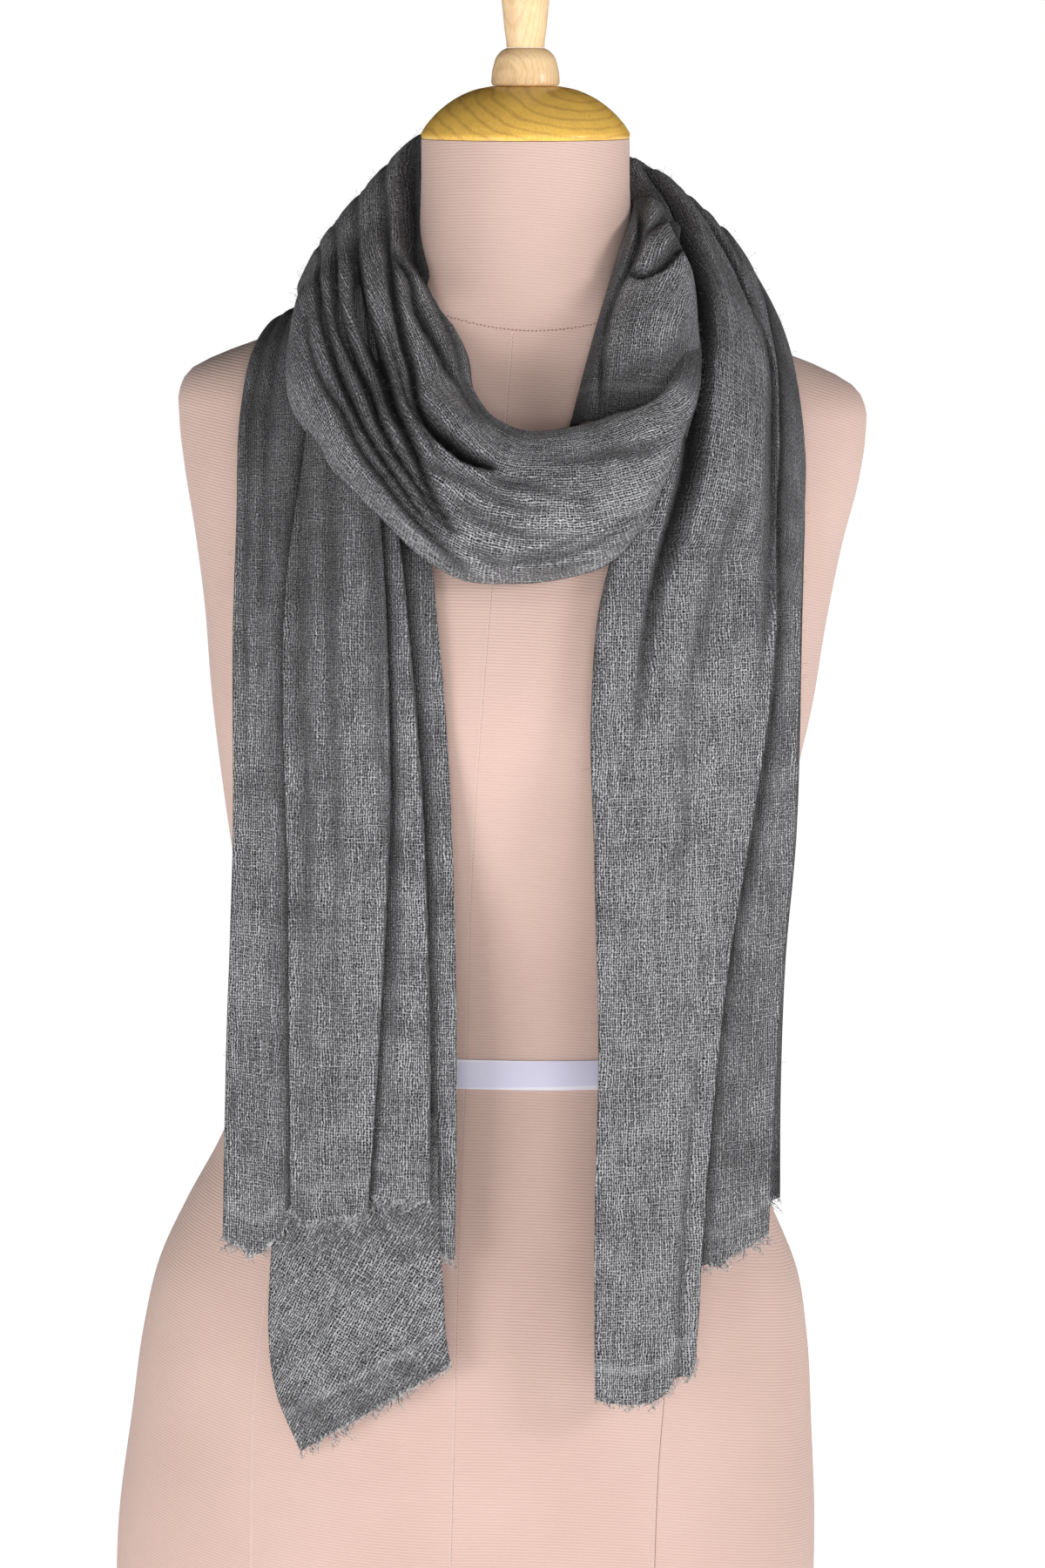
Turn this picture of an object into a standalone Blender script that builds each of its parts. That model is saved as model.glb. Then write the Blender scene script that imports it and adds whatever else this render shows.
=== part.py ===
"""A wool shawl wound once round the neck of a limbless dress form.

Run with: blender --background --python part.py, or from the text editor.
Metres, +Z up. The origin is the middle of the form's flat base, and the form's front faces -Y.
Tables are in millimetres, because that is how cloth and forms are measured. Left and right are
those of someone who looks at the front.
"""
import math
from typing import NamedTuple

import bmesh
import bpy
import numpy as np
from mathutils import Matrix

MM = 0.001

# The cloth
WALL = 1.0                # thickness that stands for the yarn
SEAM_GAP = 0.3            # space between touching pieces
FRINGE_REACH = 7.0        # how far the cut ends hang below the last weft
FOLD_RADIUS = 1.1         # how tightly a flat fold turns
LAYER_PITCH_TOP = 1.5     # from layer to layer where the cloth is pressed on the shoulder
LAYER_PITCH_HEM = 2.3     # and where it hangs free
PRESSED_TO = 0.2          # the part of an end's length over which its layers stay pressed
FREE_FROM = 0.6           # and from which they hang a full pitch apart
PLUMB_FROM = 0.5          # below this part of its length an end hangs straight down
TRAVEL_STEP = 1.0         # reach of the step that finds which way the cloth runs

# The dress form
FORM_SIDES = 44
NECK_TOP = 780.0
NECK_AXIS_X = 32.5
NECK_AXIS_Y = -4.0
NECK_NOD_DEG = 4.3        # the neck's top plane is lower at the front
CAP_SIDES = 32
HALVED_OVER = 20.0        # sections further apart than this get one more between them
WAIST_LOW, WAIST_HIGH = 305.0, 320.0
TAPE_MIDDLE = 315.0       # the waist's own section, under the tape
TAPE_THICKNESS = 0.7


class FormSection(NamedTuple):
    """One level section of the form."""
    height: float
    half_width: float
    half_depth: float
    mid_x: float
    mid_y: float
    squareness: float     # 2 is an ellipse, more is squarer
    side_drop: float      # how much lower the right end of the section is than its middle
    nod: float            # degrees that the section is lower at the front


FORM_TABLE = (
    FormSection(0.0, 183.0, 113.0, 0.0, 0.0, 2.1, 0.0, 0.0),
    FormSection(70.0, 182.0, 113.0, 2.0, 0.0, 2.1, 1.5, 0.0),
    FormSection(120.0, 177.5, 111.0, 4.5, 0.0, 2.1, 2.5, 0.0),
    FormSection(165.0, 173.0, 108.0, 6.5, 0.0, 2.1, 3.0, 0.0),
    FormSection(200.0, 166.0, 103.0, 8.0, 0.0, 2.1, 3.0, 0.0),
    FormSection(232.0, 152.0, 97.0, 9.0, 0.0, 2.1, 3.0, 0.0),
    FormSection(262.0, 137.0, 92.0, 10.5, 0.0, 2.1, 3.0, 0.0),
    FormSection(290.0, 127.0, 88.0, 12.0, -1.0, 2.1, 3.0, 0.0),
    FormSection(315.0, 123.5, 86.0, 13.5, -2.0, 2.1, 3.0, 0.0),
    FormSection(345.0, 126.0, 87.0, 15.5, -3.0, 2.1, 3.0, 0.0),
    FormSection(395.0, 135.0, 93.0, 19.0, -6.0, 2.1, 3.0, 0.0),
    FormSection(445.0, 145.0, 102.0, 22.5, -10.0, 2.15, 3.5, 0.0),
    FormSection(495.0, 153.5, 109.0, 25.5, -13.0, 2.2, 4.0, 0.0),
    FormSection(540.0, 159.0, 106.0, 27.5, -10.0, 2.25, 4.0, 0.0),
    FormSection(580.0, 166.0, 97.0, 29.0, -4.0, 2.3, 4.0, 0.0),
    FormSection(612.0, 173.0, 87.0, 30.5, 2.0, 2.4, 4.5, 0.0),
    FormSection(635.0, 176.0, 79.0, 31.0, 5.0, 2.4, 4.5, 0.0),
    FormSection(650.0, 175.5, 72.0, 31.0, 6.0, 2.4, 4.5, 0.0),
    FormSection(660.0, 169.0, 66.0, 31.0, 6.0, 2.3, 4.5, 0.0),
    FormSection(667.0, 156.0, 62.0, 31.0, 5.0, 2.2, 4.0, 0.0),
    FormSection(677.0, 130.0, 59.0, 31.0, 3.0, 2.1, 3.5, 0.0),
    FormSection(687.0, 101.0, 57.0, 31.5, 1.0, 2.0, 3.0, 0.5),
    FormSection(697.0, 76.0, 56.0, 32.0, -0.5, 2.0, 2.0, 1.0),
    FormSection(710.0, 60.0, 55.0, 32.5, -1.5, 2.0, 1.0, 2.0),
    FormSection(728.0, 55.0, 54.0, 32.5, -2.5, 2.0, 0.0, 3.0),
    FormSection(752.0, 53.3, 53.3, 32.5, -3.5, 2.0, 0.0, 4.0),
    FormSection(NECK_TOP, 53.0, 53.0, NECK_AXIS_X, NECK_AXIS_Y, 2.0, 0.0, NECK_NOD_DEG),
)


class TurnedPoint(NamedTuple):
    """One point of a turned profile, above the neck's top."""
    radius: float
    rise: float


CAP_PROFILE = (
    TurnedPoint(0.0, 26.5), TurnedPoint(17.0, 26.5), TurnedPoint(26.0, 24.6), TurnedPoint(34.0, 21.2),
    TurnedPoint(41.0, 16.6), TurnedPoint(47.5, 10.6), TurnedPoint(51.8, 5.0), TurnedPoint(53.2, 2.2),
    TurnedPoint(52.8, SEAM_GAP), TurnedPoint(0.0, SEAM_GAP),
)
COLLAR_PROFILE = (
    TurnedPoint(0.0, 45.6), TurnedPoint(9.4, 45.6), TurnedPoint(11.8, 44.4), TurnedPoint(14.6, 41.4),
    TurnedPoint(16.3, 36.6), TurnedPoint(17.2, 31.2), TurnedPoint(17.0, 27.4),
    TurnedPoint(16.4, 26.8), TurnedPoint(0.0, 26.8),
)
STEM_PROFILE = (
    TurnedPoint(0.0, 101.0), TurnedPoint(5.6, 100.0), TurnedPoint(10.4, 96.8), TurnedPoint(13.6, 91.6),
    TurnedPoint(14.6, 85.8), TurnedPoint(13.8, 79.4), TurnedPoint(12.3, 71.0), TurnedPoint(11.4, 63.0),
    TurnedPoint(10.6, 54.8), TurnedPoint(9.8, 49.0), TurnedPoint(9.6, 45.9), TurnedPoint(0.0, 45.9),
)


class Station(NamedTuple):
    """One line across the cloth, from edge a to edge b."""
    ax: float
    ay: float
    az: float
    bx: float
    by: float
    bz: float
    swell: float          # how far the middle stands out from the straight line


class Pleat(NamedTuple):
    """A soft trough that runs along the loop, by the places in PLEAT_PLACES."""
    width: float          # as a part of the cloth's bunched width
    across: tuple
    depth: tuple


class FoldLine(NamedTuple):
    """An edge or a flat fold that runs down a hanging end, as a part of the way across it."""
    layer: int            # of the cloth from this line to the next, counted in from the front
    at_crest: float
    at_shoulder: float
    at_chest: float
    at_waist: float
    at_hem: float
    hem: float            # height of the last weft here


class CornerRow(NamedTuple):
    """One line across the low corner, from its left to its right edge."""
    left_x: float
    left_z: float
    right_x: float
    right_z: float


# The shawl's course from the tip of the front loop, across the chest and over the left shoulder,
# behind the neck, over the right shoulder and down to the right hem. Edge a is the neckline.
LOOP = (
    Station(118, -89, 686, 122, -85, 684, 0),
    Station(111, -99, 664, 118, -95, 664, 1),
    Station(104, -104, 655, 116, -101, 652, 2),
    Station(95, -107, 649, 112, -109, 638, 4),
    Station(86, -109, 645, 107, -115, 627, 7),
    Station(78, -110, 643, 99, -120, 609, 10),
    Station(70, -111, 640, 88, -124, 588, 13),
    Station(60, -111, 637, 72, -126, 571, 16),
    Station(49, -110, 635, 49, -127, 564, 18),
    Station(38, -108, 634, 24, -127, 562, 18),
    Station(29, -105, 635, 2, -127, 564, 18),
    Station(20, -100, 639, -16, -125, 574, 17),
    Station(12, -92, 646, -39, -118, 596, 16),
    Station(4, -79, 661, -61, -106, 617, 15),
    Station(1, -67, 676, -73, -94, 634, 13),
    Station(-6, -53, 691, -82, -85, 647, 12),
    Station(-15, -39, 711, -89, -68, 664, 12),
    Station(-20, -25, 725, -92, -46, 687, 11),
    Station(-22, -8, 743, -92, -10, 700, 11),
    Station(-25, 17, 768, -94, 20, 699, 11),
    Station(-18, 40, 782, -80, 62, 675, 14),
    Station(4, 60, 788, -36, 84, 664, 16),
    Station(34, 67, 787, 31, 90, 667, 17),
    Station(63, 61, 785, 88, 86, 662, 16),
    Station(83, 48, 781, 138, 68, 668, 13),
    Station(91, 38, 777, 163, 37, 679, 10),
    Station(90, 29, 772, 161, 1, 693, 8),
    Station(101, 7, 755, 168, -27, 681, 8),
    Station(113, -18, 730, 172, -52, 656, 8),
    Station(123, -40, 704, 174, -65, 630, 9),
    Station(121, -62, 673, 174, -72, 600, 9),
    Station(106, -85, 634, 174, -75, 572, 10),
    Station(86, -107, 591, 174, -77, 545, 12),
    Station(72, -124, 549, 174, -79, 517, 13),
    Station(66, -133, 504, 174, -80, 484, 13),
    Station(67, -133, 436, 173, -80, 430, 13),
    Station(69, -133, 350, 168, -80, 360, 12),
    Station(67, -133, 270, 166, -80, 290, 12),
    Station(67, -133, 195, 166, -80, 235, 12),
)
TIP, MID_CHEST, LEFT_SHOULDER, NAPE, RIGHT_SHOULDER = 0, 10, 18, 22, 26
PLEAT_PLACES = (TIP, MID_CHEST, LEFT_SHOULDER, NAPE, RIGHT_SHOULDER)
PLEATS = (
    Pleat(0.045, (0.02, 0.02, 0.13, 0.10, 0.12), (0.0, 1.0, 4.5, 4.0, 2.0)),
    Pleat(0.050, (0.20, 0.20, 0.32, 0.27, 0.30), (0.0, 2.0, 6.5, 5.0, 2.0)),
    Pleat(0.040, (0.50, 0.50, 0.47, 0.44, 0.47), (0.0, 0.5, 5.0, 3.5, 3.0)),
    Pleat(0.040, (0.70, 0.64, 0.61, 0.62, 0.60), (0.0, 1.0, 4.5, 5.5, 2.0)),
    Pleat(0.040, (0.86, 0.85, 0.76, 0.76, 0.73), (0.0, 3.0, 5.0, 3.5, 2.5)),
)

# The first pass: from the left shoulder, behind the neck inside the loop, then down at the right
# of the neck into the loop.
INNER_PASS = (
    Station(-44, 18, 707, -89, 18, 690, 2),
    Station(-36, 42, 716, -80, 50, 684, 4),
    Station(-14, 58, 732, -48, 73, 682, 5),
    Station(31, 62, 742, 31, 79, 685, 5),
    Station(70, 53, 744, 92, 70, 690, 5),
    Station(91, 24, 744, 117, 34, 709, 5),
    Station(94, -4, 749, 112, -6, 729, 4),
    Station(83, -34, 728, 115, -38, 715, 5),
    Station(71, -56, 696, 117, -64, 690, 8),
    Station(63, -73, 668, 117, -87, 661, 8),
    Station(55, -88, 641, 111, -97, 637, 5),
)
INNER_PLEAT_PLACES = (0, 3, 6, 8, 10)
INNER_PLEATS = (
    Pleat(0.07, (0.34, 0.34, 0.34, 0.30, 0.26), (2.0, 3.0, 6.0, 2.0, 0.0)),
    Pleat(0.07, (0.62, 0.62, 0.62, 0.55, 0.50), (2.0, 3.0, 5.0, 0.5, 0.0)),
)

# The left end, from the crest of the shoulder down to its hem.
LEFT_END = (
    Station(-96, 14, 694, -42, 14, 713, 2),
    Station(-100, -8, 692, -38, -16, 715, 4),
    Station(-107, -38, 678, -32, -54, 702, 5),
    Station(-112, -64, 641, -26, -81, 656, 7),
    Station(-114, -76, 592, -20, -108, 601, 11),
    Station(-116, -91, 535, -14, -133, 535, 11),
    Station(-117, -94, 430, -8, -136, 430, 11),
    Station(-121, -94, 320, -6, -136, 320, 11),
    Station(-123, -94, 235, -7, -136, 235, 11),
)
FOLD_PLACES = (0.0, 0.15, 0.42, 0.76, 1.0)     # of the way down an end, for the columns above
LEFT_FOLDS = (
    FoldLine(0, 0.42, 0.45, 0.28, 0.29, 0.31, 247),
    FoldLine(1, 0.70, 0.75, 0.75, 0.67, 0.645, 247),
    FoldLine(2, 0.56, 0.62, 0.62, 0.55, 0.53, 256),
    FoldLine(3, 0.85, 0.88, 0.93, 0.92, 0.93, 257),
    FoldLine(3, 0.34, 0.34, 0.34, 0.34, 0.34, 250),
    FoldLine(3, 0.20, 0.20, 0.20, 0.20, 0.20, 224),
    FoldLine(5, 0.0, 0.0, 0.0, 0.0, 0.0, 229),
    FoldLine(5, 1.0, 1.0, 1.0, 1.0, 1.0, 230),
)
RIGHT_FOLDS = (
    FoldLine(0, 0.0, 0.0, 0.0, 0.0, 0.0, 152),
    FoldLine(1, 0.87, 0.87, 0.84, 0.58, 0.48, 168),
    FoldLine(2, 0.78, 0.78, 0.74, 0.38, 0.20, 206),
    FoldLine(3, 0.98, 0.98, 0.98, 0.96, 0.91, 229),
    FoldLine(4, 0.25, 0.25, 0.25, 0.22, 0.20, 238),
    FoldLine(4, 1.0, 1.0, 1.0, 1.0, 1.0, 246),
)

# The low corner hangs between the left end's layers, turned on its own threads.
CORNER_LAYER = 4
CORNER = (
    CornerRow(-88, 300, -14, 300),
    CornerRow(-94, 240, -13, 245),
    CornerRow(-97, 188, -11, 206),
    CornerRow(-93, 155, -10, 188),
    CornerRow(-80, 126, -8, 173),
)

class Grid(NamedTuple):
    """How finely a piece of cloth is built."""
    rows: int             # along it
    columns: int          # across it, or across each of its layers


INNER_GRID = Grid(20, 12)
COWL_GRID = Grid(24, 22)
OUTER_GRID = Grid(16, 22)
LEFT_GRID = Grid(13, 3)
CORNER_GRID = Grid(9, 9)
RIGHT_GRID = Grid(16, 4)

WOOL_GREY = (0.105, 0.105, 0.110, 1.0)
JERSEY_BEIGE = (0.74, 0.54, 0.46, 1.0)
PINE_GOLD = (0.66, 0.36, 0.09, 1.0)
PINE_PALE = (0.78, 0.52, 0.22, 1.0)
SATIN_LILAC = (0.70, 0.68, 0.84, 1.0)


def clear_scene():
    """Remove whatever the scene holds."""
    for thing in list(bpy.data.objects):
        bpy.data.objects.remove(thing, do_unlink=True)


def make_material(name, colour, roughness):
    """A plain Principled material."""
    material = bpy.data.materials.new(name)
    material.use_nodes = True
    shader = material.node_tree.nodes["Principled BSDF"]
    shader.inputs["Base Color"].default_value = colour
    shader.inputs["Roughness"].default_value = roughness
    return material


def add_object(name, bm, material, angle=50):
    """Turn a bmesh into a named, smooth-shaded object."""
    mesh = bpy.data.meshes.new(name)
    bm.to_mesh(mesh)
    bm.free()
    mesh.materials.append(material)
    mesh.shade_smooth()
    mesh.set_sharp_from_angle(angle=math.radians(angle))
    thing = bpy.data.objects.new(name, mesh)
    bpy.context.collection.objects.link(thing)
    return thing


def through(keys, values, at):
    """Values on the smooth curve that passes through the rows of a table."""
    keys = np.asarray(keys, float)
    values = np.asarray(values, float)
    at = np.clip(np.asarray(at, float), keys[0], keys[-1])
    slopes = np.gradient(values, keys, axis=0)
    left = np.clip(np.searchsorted(keys, at, side="right") - 1, 0, len(keys) - 2)
    span = (keys[left + 1] - keys[left])[:, None]
    t = (at - keys[left])[:, None] / span
    return ((2 * t ** 3 - 3 * t ** 2 + 1) * values[left] + (t ** 3 - 2 * t ** 2 + t) * span * slopes[left]
            + (3 * t ** 2 - 2 * t ** 3) * values[left + 1] + (t ** 3 - t ** 2) * span * slopes[left + 1])


# ---- the dress form ----

def section_ring(height, grow=0.0):
    """Points of the form's section at one height, moved out by grow."""
    table = np.array(FORM_TABLE)
    row = through(table[:, 0], table, [height])[0]
    _, half_width, half_depth, mid_x, mid_y, squareness, side_drop, nod = row
    ring = []
    for side in range(FORM_SIDES):
        angle = 2 * math.pi * side / FORM_SIDES
        cosine, sine = math.cos(angle), math.sin(angle)
        power = 2 / squareness
        across = math.copysign(abs(cosine) ** power, cosine)
        deep = math.copysign(abs(sine) ** power, sine)
        x = (half_width + grow) * across
        y = (half_depth + grow) * deep
        z = height - side_drop * across + y * math.tan(math.radians(nod))
        ring.append(((mid_x + x) * MM, (mid_y + y) * MM, z * MM))
    return ring


def add_ring(bm, points):
    """A closed ring of edges through the points."""
    ring = bmesh.ops.create_circle(bm, cap_ends=False, segments=len(points), radius=1.0)["verts"]
    for vert, point in zip(ring, points):
        vert.co = point
    return list({edge for vert in ring for edge in vert.link_edges})


def loft(rings, cap_first=True, cap_last=True):
    """A closed solid through rings of points, lowest first."""
    bm = bmesh.new()
    loops = [add_ring(bm, points) for points in rings]
    for lower, upper in zip(loops, loops[1:]):
        bmesh.ops.bridge_loops(bm, edges=lower + upper)
    if cap_first:
        bmesh.ops.contextual_create(bm, geom=loops[0])
    if cap_last:
        bmesh.ops.contextual_create(bm, geom=loops[-1])
    bmesh.ops.recalc_face_normals(bm, faces=bm.faces)
    return bm


def make_torso(material):
    """The padded torso and neck in one smooth body on a flat base."""
    heights = [row.height for row in FORM_TABLE]
    between = [(low + high) / 2 for low, high in zip(heights, heights[1:]) if high - low > HALVED_OVER]
    near_tape = [height for height in between if not WAIST_LOW < height < WAIST_HIGH]
    levels = sorted(set(heights + near_tape + [WAIST_LOW, WAIST_HIGH]) - {TAPE_MIDDLE})
    return add_object("form_torso", loft([section_ring(height) for height in levels]), material)


def make_waist_tape(material):
    """A satin tape round the waist, just clear of the jersey."""
    near, far = SEAM_GAP, SEAM_GAP + TAPE_THICKNESS
    corners = ((WAIST_LOW, near), (WAIST_LOW, far), (WAIST_HIGH, far), (WAIST_HIGH, near))
    bm = bmesh.new()
    loops = [add_ring(bm, section_ring(height, grow)) for height, grow in corners]
    for start, end in zip(loops, loops[1:] + loops[:1]):
        bmesh.ops.bridge_loops(bm, edges=start + end)
    bmesh.ops.recalc_face_normals(bm, faces=bm.faces)
    return add_object("waist_tape", bm, material)


def make_turned(name, profile, material):
    """A turned wooden piece on the neck's axis, nodding with the neck."""
    bm = bmesh.new()
    verts = [bm.verts.new((point.radius * MM, 0.0, point.rise * MM)) for point in profile]
    edges = [bm.edges.new(pair) for pair in zip(verts, verts[1:])]
    bmesh.ops.spin(bm, geom=verts + edges, cent=(0, 0, 0), axis=(0, 0, 1), angle=2 * math.pi,
                   steps=CAP_SIDES, use_merge=True, use_duplicate=False)
    bmesh.ops.remove_doubles(bm, verts=bm.verts, dist=0.00002)
    bmesh.ops.recalc_face_normals(bm, faces=bm.faces)
    nod = Matrix.Rotation(math.radians(NECK_NOD_DEG), 4, "X")
    place = Matrix.Translation((NECK_AXIS_X * MM, NECK_AXIS_Y * MM, NECK_TOP * MM))
    bmesh.ops.transform(bm, matrix=place @ nod, verts=bm.verts)
    return add_object(name, bm, material, angle=35)


# ---- the cloth ----

def distances(stations):
    """How far along the cloth each station lies, in millimetres."""
    rows = np.array(stations, float)
    middles = (rows[:, 0:3] + rows[:, 3:6]) / 2
    return np.concatenate([[0.0], np.cumsum(np.linalg.norm(np.diff(middles, axis=0), axis=1))])


def course(stations, along, across, out):
    """Points that are so far along a course and across it, and moved out from it."""
    keys = distances(stations)
    rows = through(keys, stations, along)
    edge_a, edge_b, swell = rows[:, 0:3], rows[:, 3:6], rows[:, 6]
    chord = edge_b - edge_a
    ahead, behind = (through(keys, stations, along + step) for step in (TRAVEL_STEP, -TRAVEL_STEP))
    travel = (ahead[:, 0:3] + ahead[:, 3:6]) - (behind[:, 0:3] + behind[:, 3:6])
    normal = np.cross(travel, chord)
    normal /= np.linalg.norm(normal, axis=1)[:, None]
    lift = swell[:, None] * 4 * across * (1 - across) + out
    return edge_a[:, None, :] + chord[:, None, :] * across[:, :, None] + normal[:, None, :] * lift[:, :, None]


def pleat_depth(pleats, places, along, across):
    """How far the pleats press each point in."""
    depth = np.zeros_like(across)
    for pleat in pleats:
        middle = np.interp(along, places, pleat.across)[:, None]
        deep = np.interp(along, places, pleat.depth)[:, None]
        depth += deep * np.exp(-((across - middle) / pleat.width) ** 2)
    return depth


def cloth_wall(name, points, material):
    """A grid of cloth through rows of points in millimetres, given its thickness."""
    rows, columns = points.shape[:2]
    bm = bmesh.new()
    grid = bmesh.ops.create_grid(bm, x_segments=columns - 1, y_segments=rows - 1, size=0.5)["verts"]
    for vert in grid:
        column = round((vert.co.x + 0.5) * (columns - 1))
        row = round((vert.co.y + 0.5) * (rows - 1))
        vert.co = points[row, column] * MM
    thing = add_object(name, bm, material)
    wall = thing.modifiers.new("wall", "SOLIDIFY")
    wall.thickness = WALL * MM
    wall.offset = 0.0
    return thing


def make_band(name, stations, stretch, pleats, places, grid, material):
    """The stretch of one pleated layer between two stations, just short of both."""
    keys = distances(stations)
    first, last = stretch
    along = np.linspace(keys[first] + SEAM_GAP, keys[last] - SEAM_GAP, grid.rows)
    across = np.tile(np.linspace(0, 1, grid.columns), (grid.rows, 1))
    depth = pleat_depth(pleats, keys[list(places)], along, across)
    return cloth_wall(name, course(stations, along, across, -depth), material)


def folded_line(lines, folds, pitch, turn, columns):
    """One line across a folded end: how far across, how far in, and the hem, at each point."""
    points = []
    last = len(folds) - 2
    for run in range(last + 1):
        start, end = lines[run], lines[run + 1]
        layer, next_layer = folds[run].layer, folds[run + 1].layer
        inset = math.copysign(turn, end - start)
        first = start + (inset if run > 0 else 0)
        final = end - (inset if run < last else 0)
        for part in np.linspace(0, 1, columns):
            hem = folds[run].hem + (folds[run + 1].hem - folds[run].hem) * part
            points.append((first + (final - first) * part, layer * pitch, hem))
        if run < last:
            points.append((end, (layer + next_layer) / 2 * pitch, folds[run + 1].hem))
    return points


def folded_points(stations, first, folds, grid):
    """Points of a hanging end in flat layers, from its crest at a station to its hem."""
    keys = distances(stations)
    crest, foot = keys[first] + WALL, keys[-1]
    down = np.linspace(0, 1, grid.rows)
    along = crest + (foot - crest) * down
    lines = through(FOLD_PLACES, np.array([fold[1:6] for fold in folds]).T, down)
    pitches = np.interp(down, (PRESSED_TO, FREE_FROM), (LAYER_PITCH_TOP, LAYER_PITCH_HEM))
    rows_now = through(keys, stations, along)
    widths = np.linalg.norm(rows_now[:, 3:6] - rows_now[:, 0:3], axis=1)
    sections = np.array([folded_line(line, folds, pitch, FOLD_RADIUS / width, grid.columns)
                         for line, pitch, width in zip(lines, pitches, widths)])
    across = sections[:, :, 0]
    points = course(stations, along, across, -sections[:, :, 1])
    settle = np.clip((down - PLUMB_FROM) / (1 - PLUMB_FROM), 0, 1)[:, None]
    points[:, :, 2] += settle * (sections[-1, :, 2] - points[-1, :, 2])
    return points


def fringe_points(points):
    """Rows that carry a hem straight down, just below its last weft."""
    drops = (SEAM_GAP * 2, FRINGE_REACH)
    return np.stack([points[-1] - np.array((0.0, 0.0, drop)) for drop in drops])


def make_hung(name, points, material):
    """A hanging piece of cloth, and the plain wall that its fringe fills."""
    cloth_wall(name, points, material)
    cloth_wall(name + "_fringe", fringe_points(points), material)


def corner_points(grid):
    """Points of the low corner, in the space between two layers of the left end."""
    outline = through(np.linspace(0, 1, len(CORNER)), CORNER, np.linspace(0, 1, grid.rows))
    part = np.linspace(0, 1, grid.columns)
    x = outline[:, 0:1] + (outline[:, 2:3] - outline[:, 0:1]) * part
    z = outline[:, 1:2] + (outline[:, 3:4] - outline[:, 1:2]) * part
    hem = LEFT_END[-1]
    across = (x - hem.ax) / (hem.bx - hem.ax)
    foot = np.full(grid.rows, distances(LEFT_END)[-1])
    points = course(LEFT_END, foot, across, np.full_like(x, -CORNER_LAYER * LAYER_PITCH_HEM))
    points[:, :, 2] = z
    return points


def main():
    """Build the form, then the shawl on it."""
    clear_scene()
    jersey = make_material("jersey", JERSEY_BEIGE, 0.85)
    pine = make_material("varnished_pine", PINE_GOLD, 0.25)
    pale_pine = make_material("pale_pine", PINE_PALE, 0.4)
    satin = make_material("satin", SATIN_LILAC, 0.35)
    wool = make_material("wool", WOOL_GREY, 0.95)

    make_torso(jersey)
    make_waist_tape(satin)
    make_turned("neck_cap", CAP_PROFILE, pine)
    make_turned("finial_collar", COLLAR_PROFILE, pale_pine)
    make_turned("finial_stem", STEM_PROFILE, pale_pine)

    make_band("shawl_inner_wrap", INNER_PASS, (0, len(INNER_PASS) - 1), INNER_PLEATS,
              INNER_PLEAT_PLACES, INNER_GRID, wool)
    make_band("shawl_front_cowl", LOOP, (TIP, LEFT_SHOULDER), PLEATS, PLEAT_PLACES, COWL_GRID, wool)
    make_band("shawl_outer_wrap", LOOP, (LEFT_SHOULDER, RIGHT_SHOULDER), PLEATS, PLEAT_PLACES,
              OUTER_GRID, wool)
    make_hung("shawl_left_end", folded_points(LEFT_END, 0, LEFT_FOLDS, LEFT_GRID), wool)
    make_hung("shawl_left_corner", corner_points(CORNER_GRID), wool)
    make_hung("shawl_right_end", folded_points(LOOP, RIGHT_SHOULDER, RIGHT_FOLDS, RIGHT_GRID), wool)


main()
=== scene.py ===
"""Looks of a wool shawl that is wound once round the neck of a limbless dress form.

The shawl is one long open gauze in melange grey. It starts in flat layers on the viewer's left,
passes behind the neck, comes forward at the right in rolls and a soft pouch, crosses the chest as
a loop, passes behind the neck again and hangs in flat layers on the viewer's right. The form is a
padded torso in ribbed jersey with a waist tape, a turned cap and a knob.

Sizes are in millimetres, placed in metres with +Z up and the front towards -Y.
"""
from __future__ import annotations

import logging
import math
from dataclasses import dataclass, replace
from enum import Enum
from typing import Sequence

import bmesh
import bpy
import numpy as np
from mathutils import Matrix, Vector
from mathutils.bvhtree import BVHTree

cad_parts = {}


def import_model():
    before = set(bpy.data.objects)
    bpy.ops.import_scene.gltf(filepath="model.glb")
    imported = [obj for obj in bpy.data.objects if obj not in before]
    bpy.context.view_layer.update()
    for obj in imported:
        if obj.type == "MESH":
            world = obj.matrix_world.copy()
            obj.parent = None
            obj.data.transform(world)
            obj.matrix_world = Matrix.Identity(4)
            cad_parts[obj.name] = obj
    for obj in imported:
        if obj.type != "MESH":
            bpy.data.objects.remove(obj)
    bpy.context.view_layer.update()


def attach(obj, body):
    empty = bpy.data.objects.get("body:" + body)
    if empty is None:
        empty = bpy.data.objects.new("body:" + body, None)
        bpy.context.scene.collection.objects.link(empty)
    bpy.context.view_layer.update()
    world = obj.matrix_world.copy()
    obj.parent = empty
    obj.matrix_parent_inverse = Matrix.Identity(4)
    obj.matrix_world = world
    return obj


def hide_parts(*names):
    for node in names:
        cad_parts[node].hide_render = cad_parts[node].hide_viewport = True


LOG = logging.getLogger("shawl")
MM = 0.001
BODY = "root"
SHADE_AND_TONE = "dark"                                 # the attribute that says how much darker the cloth is: mostly painted shade, with some of the cloth's own tone
ABOVE = "above_hem"                           # the attribute that says how far above its hem it is


class Slot(str, Enum):
    """The record's material slots."""

    JERSEY = "jersey"
    SATIN = "satin"
    PINE = "varnished_pine"
    PALE_PINE = "pale_pine"
    WOOL = "wool"


# ---------------------------------------------------------------------------------------------
# Shader graphs
# ---------------------------------------------------------------------------------------------

Colour = tuple[float, float, float, float]


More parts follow.
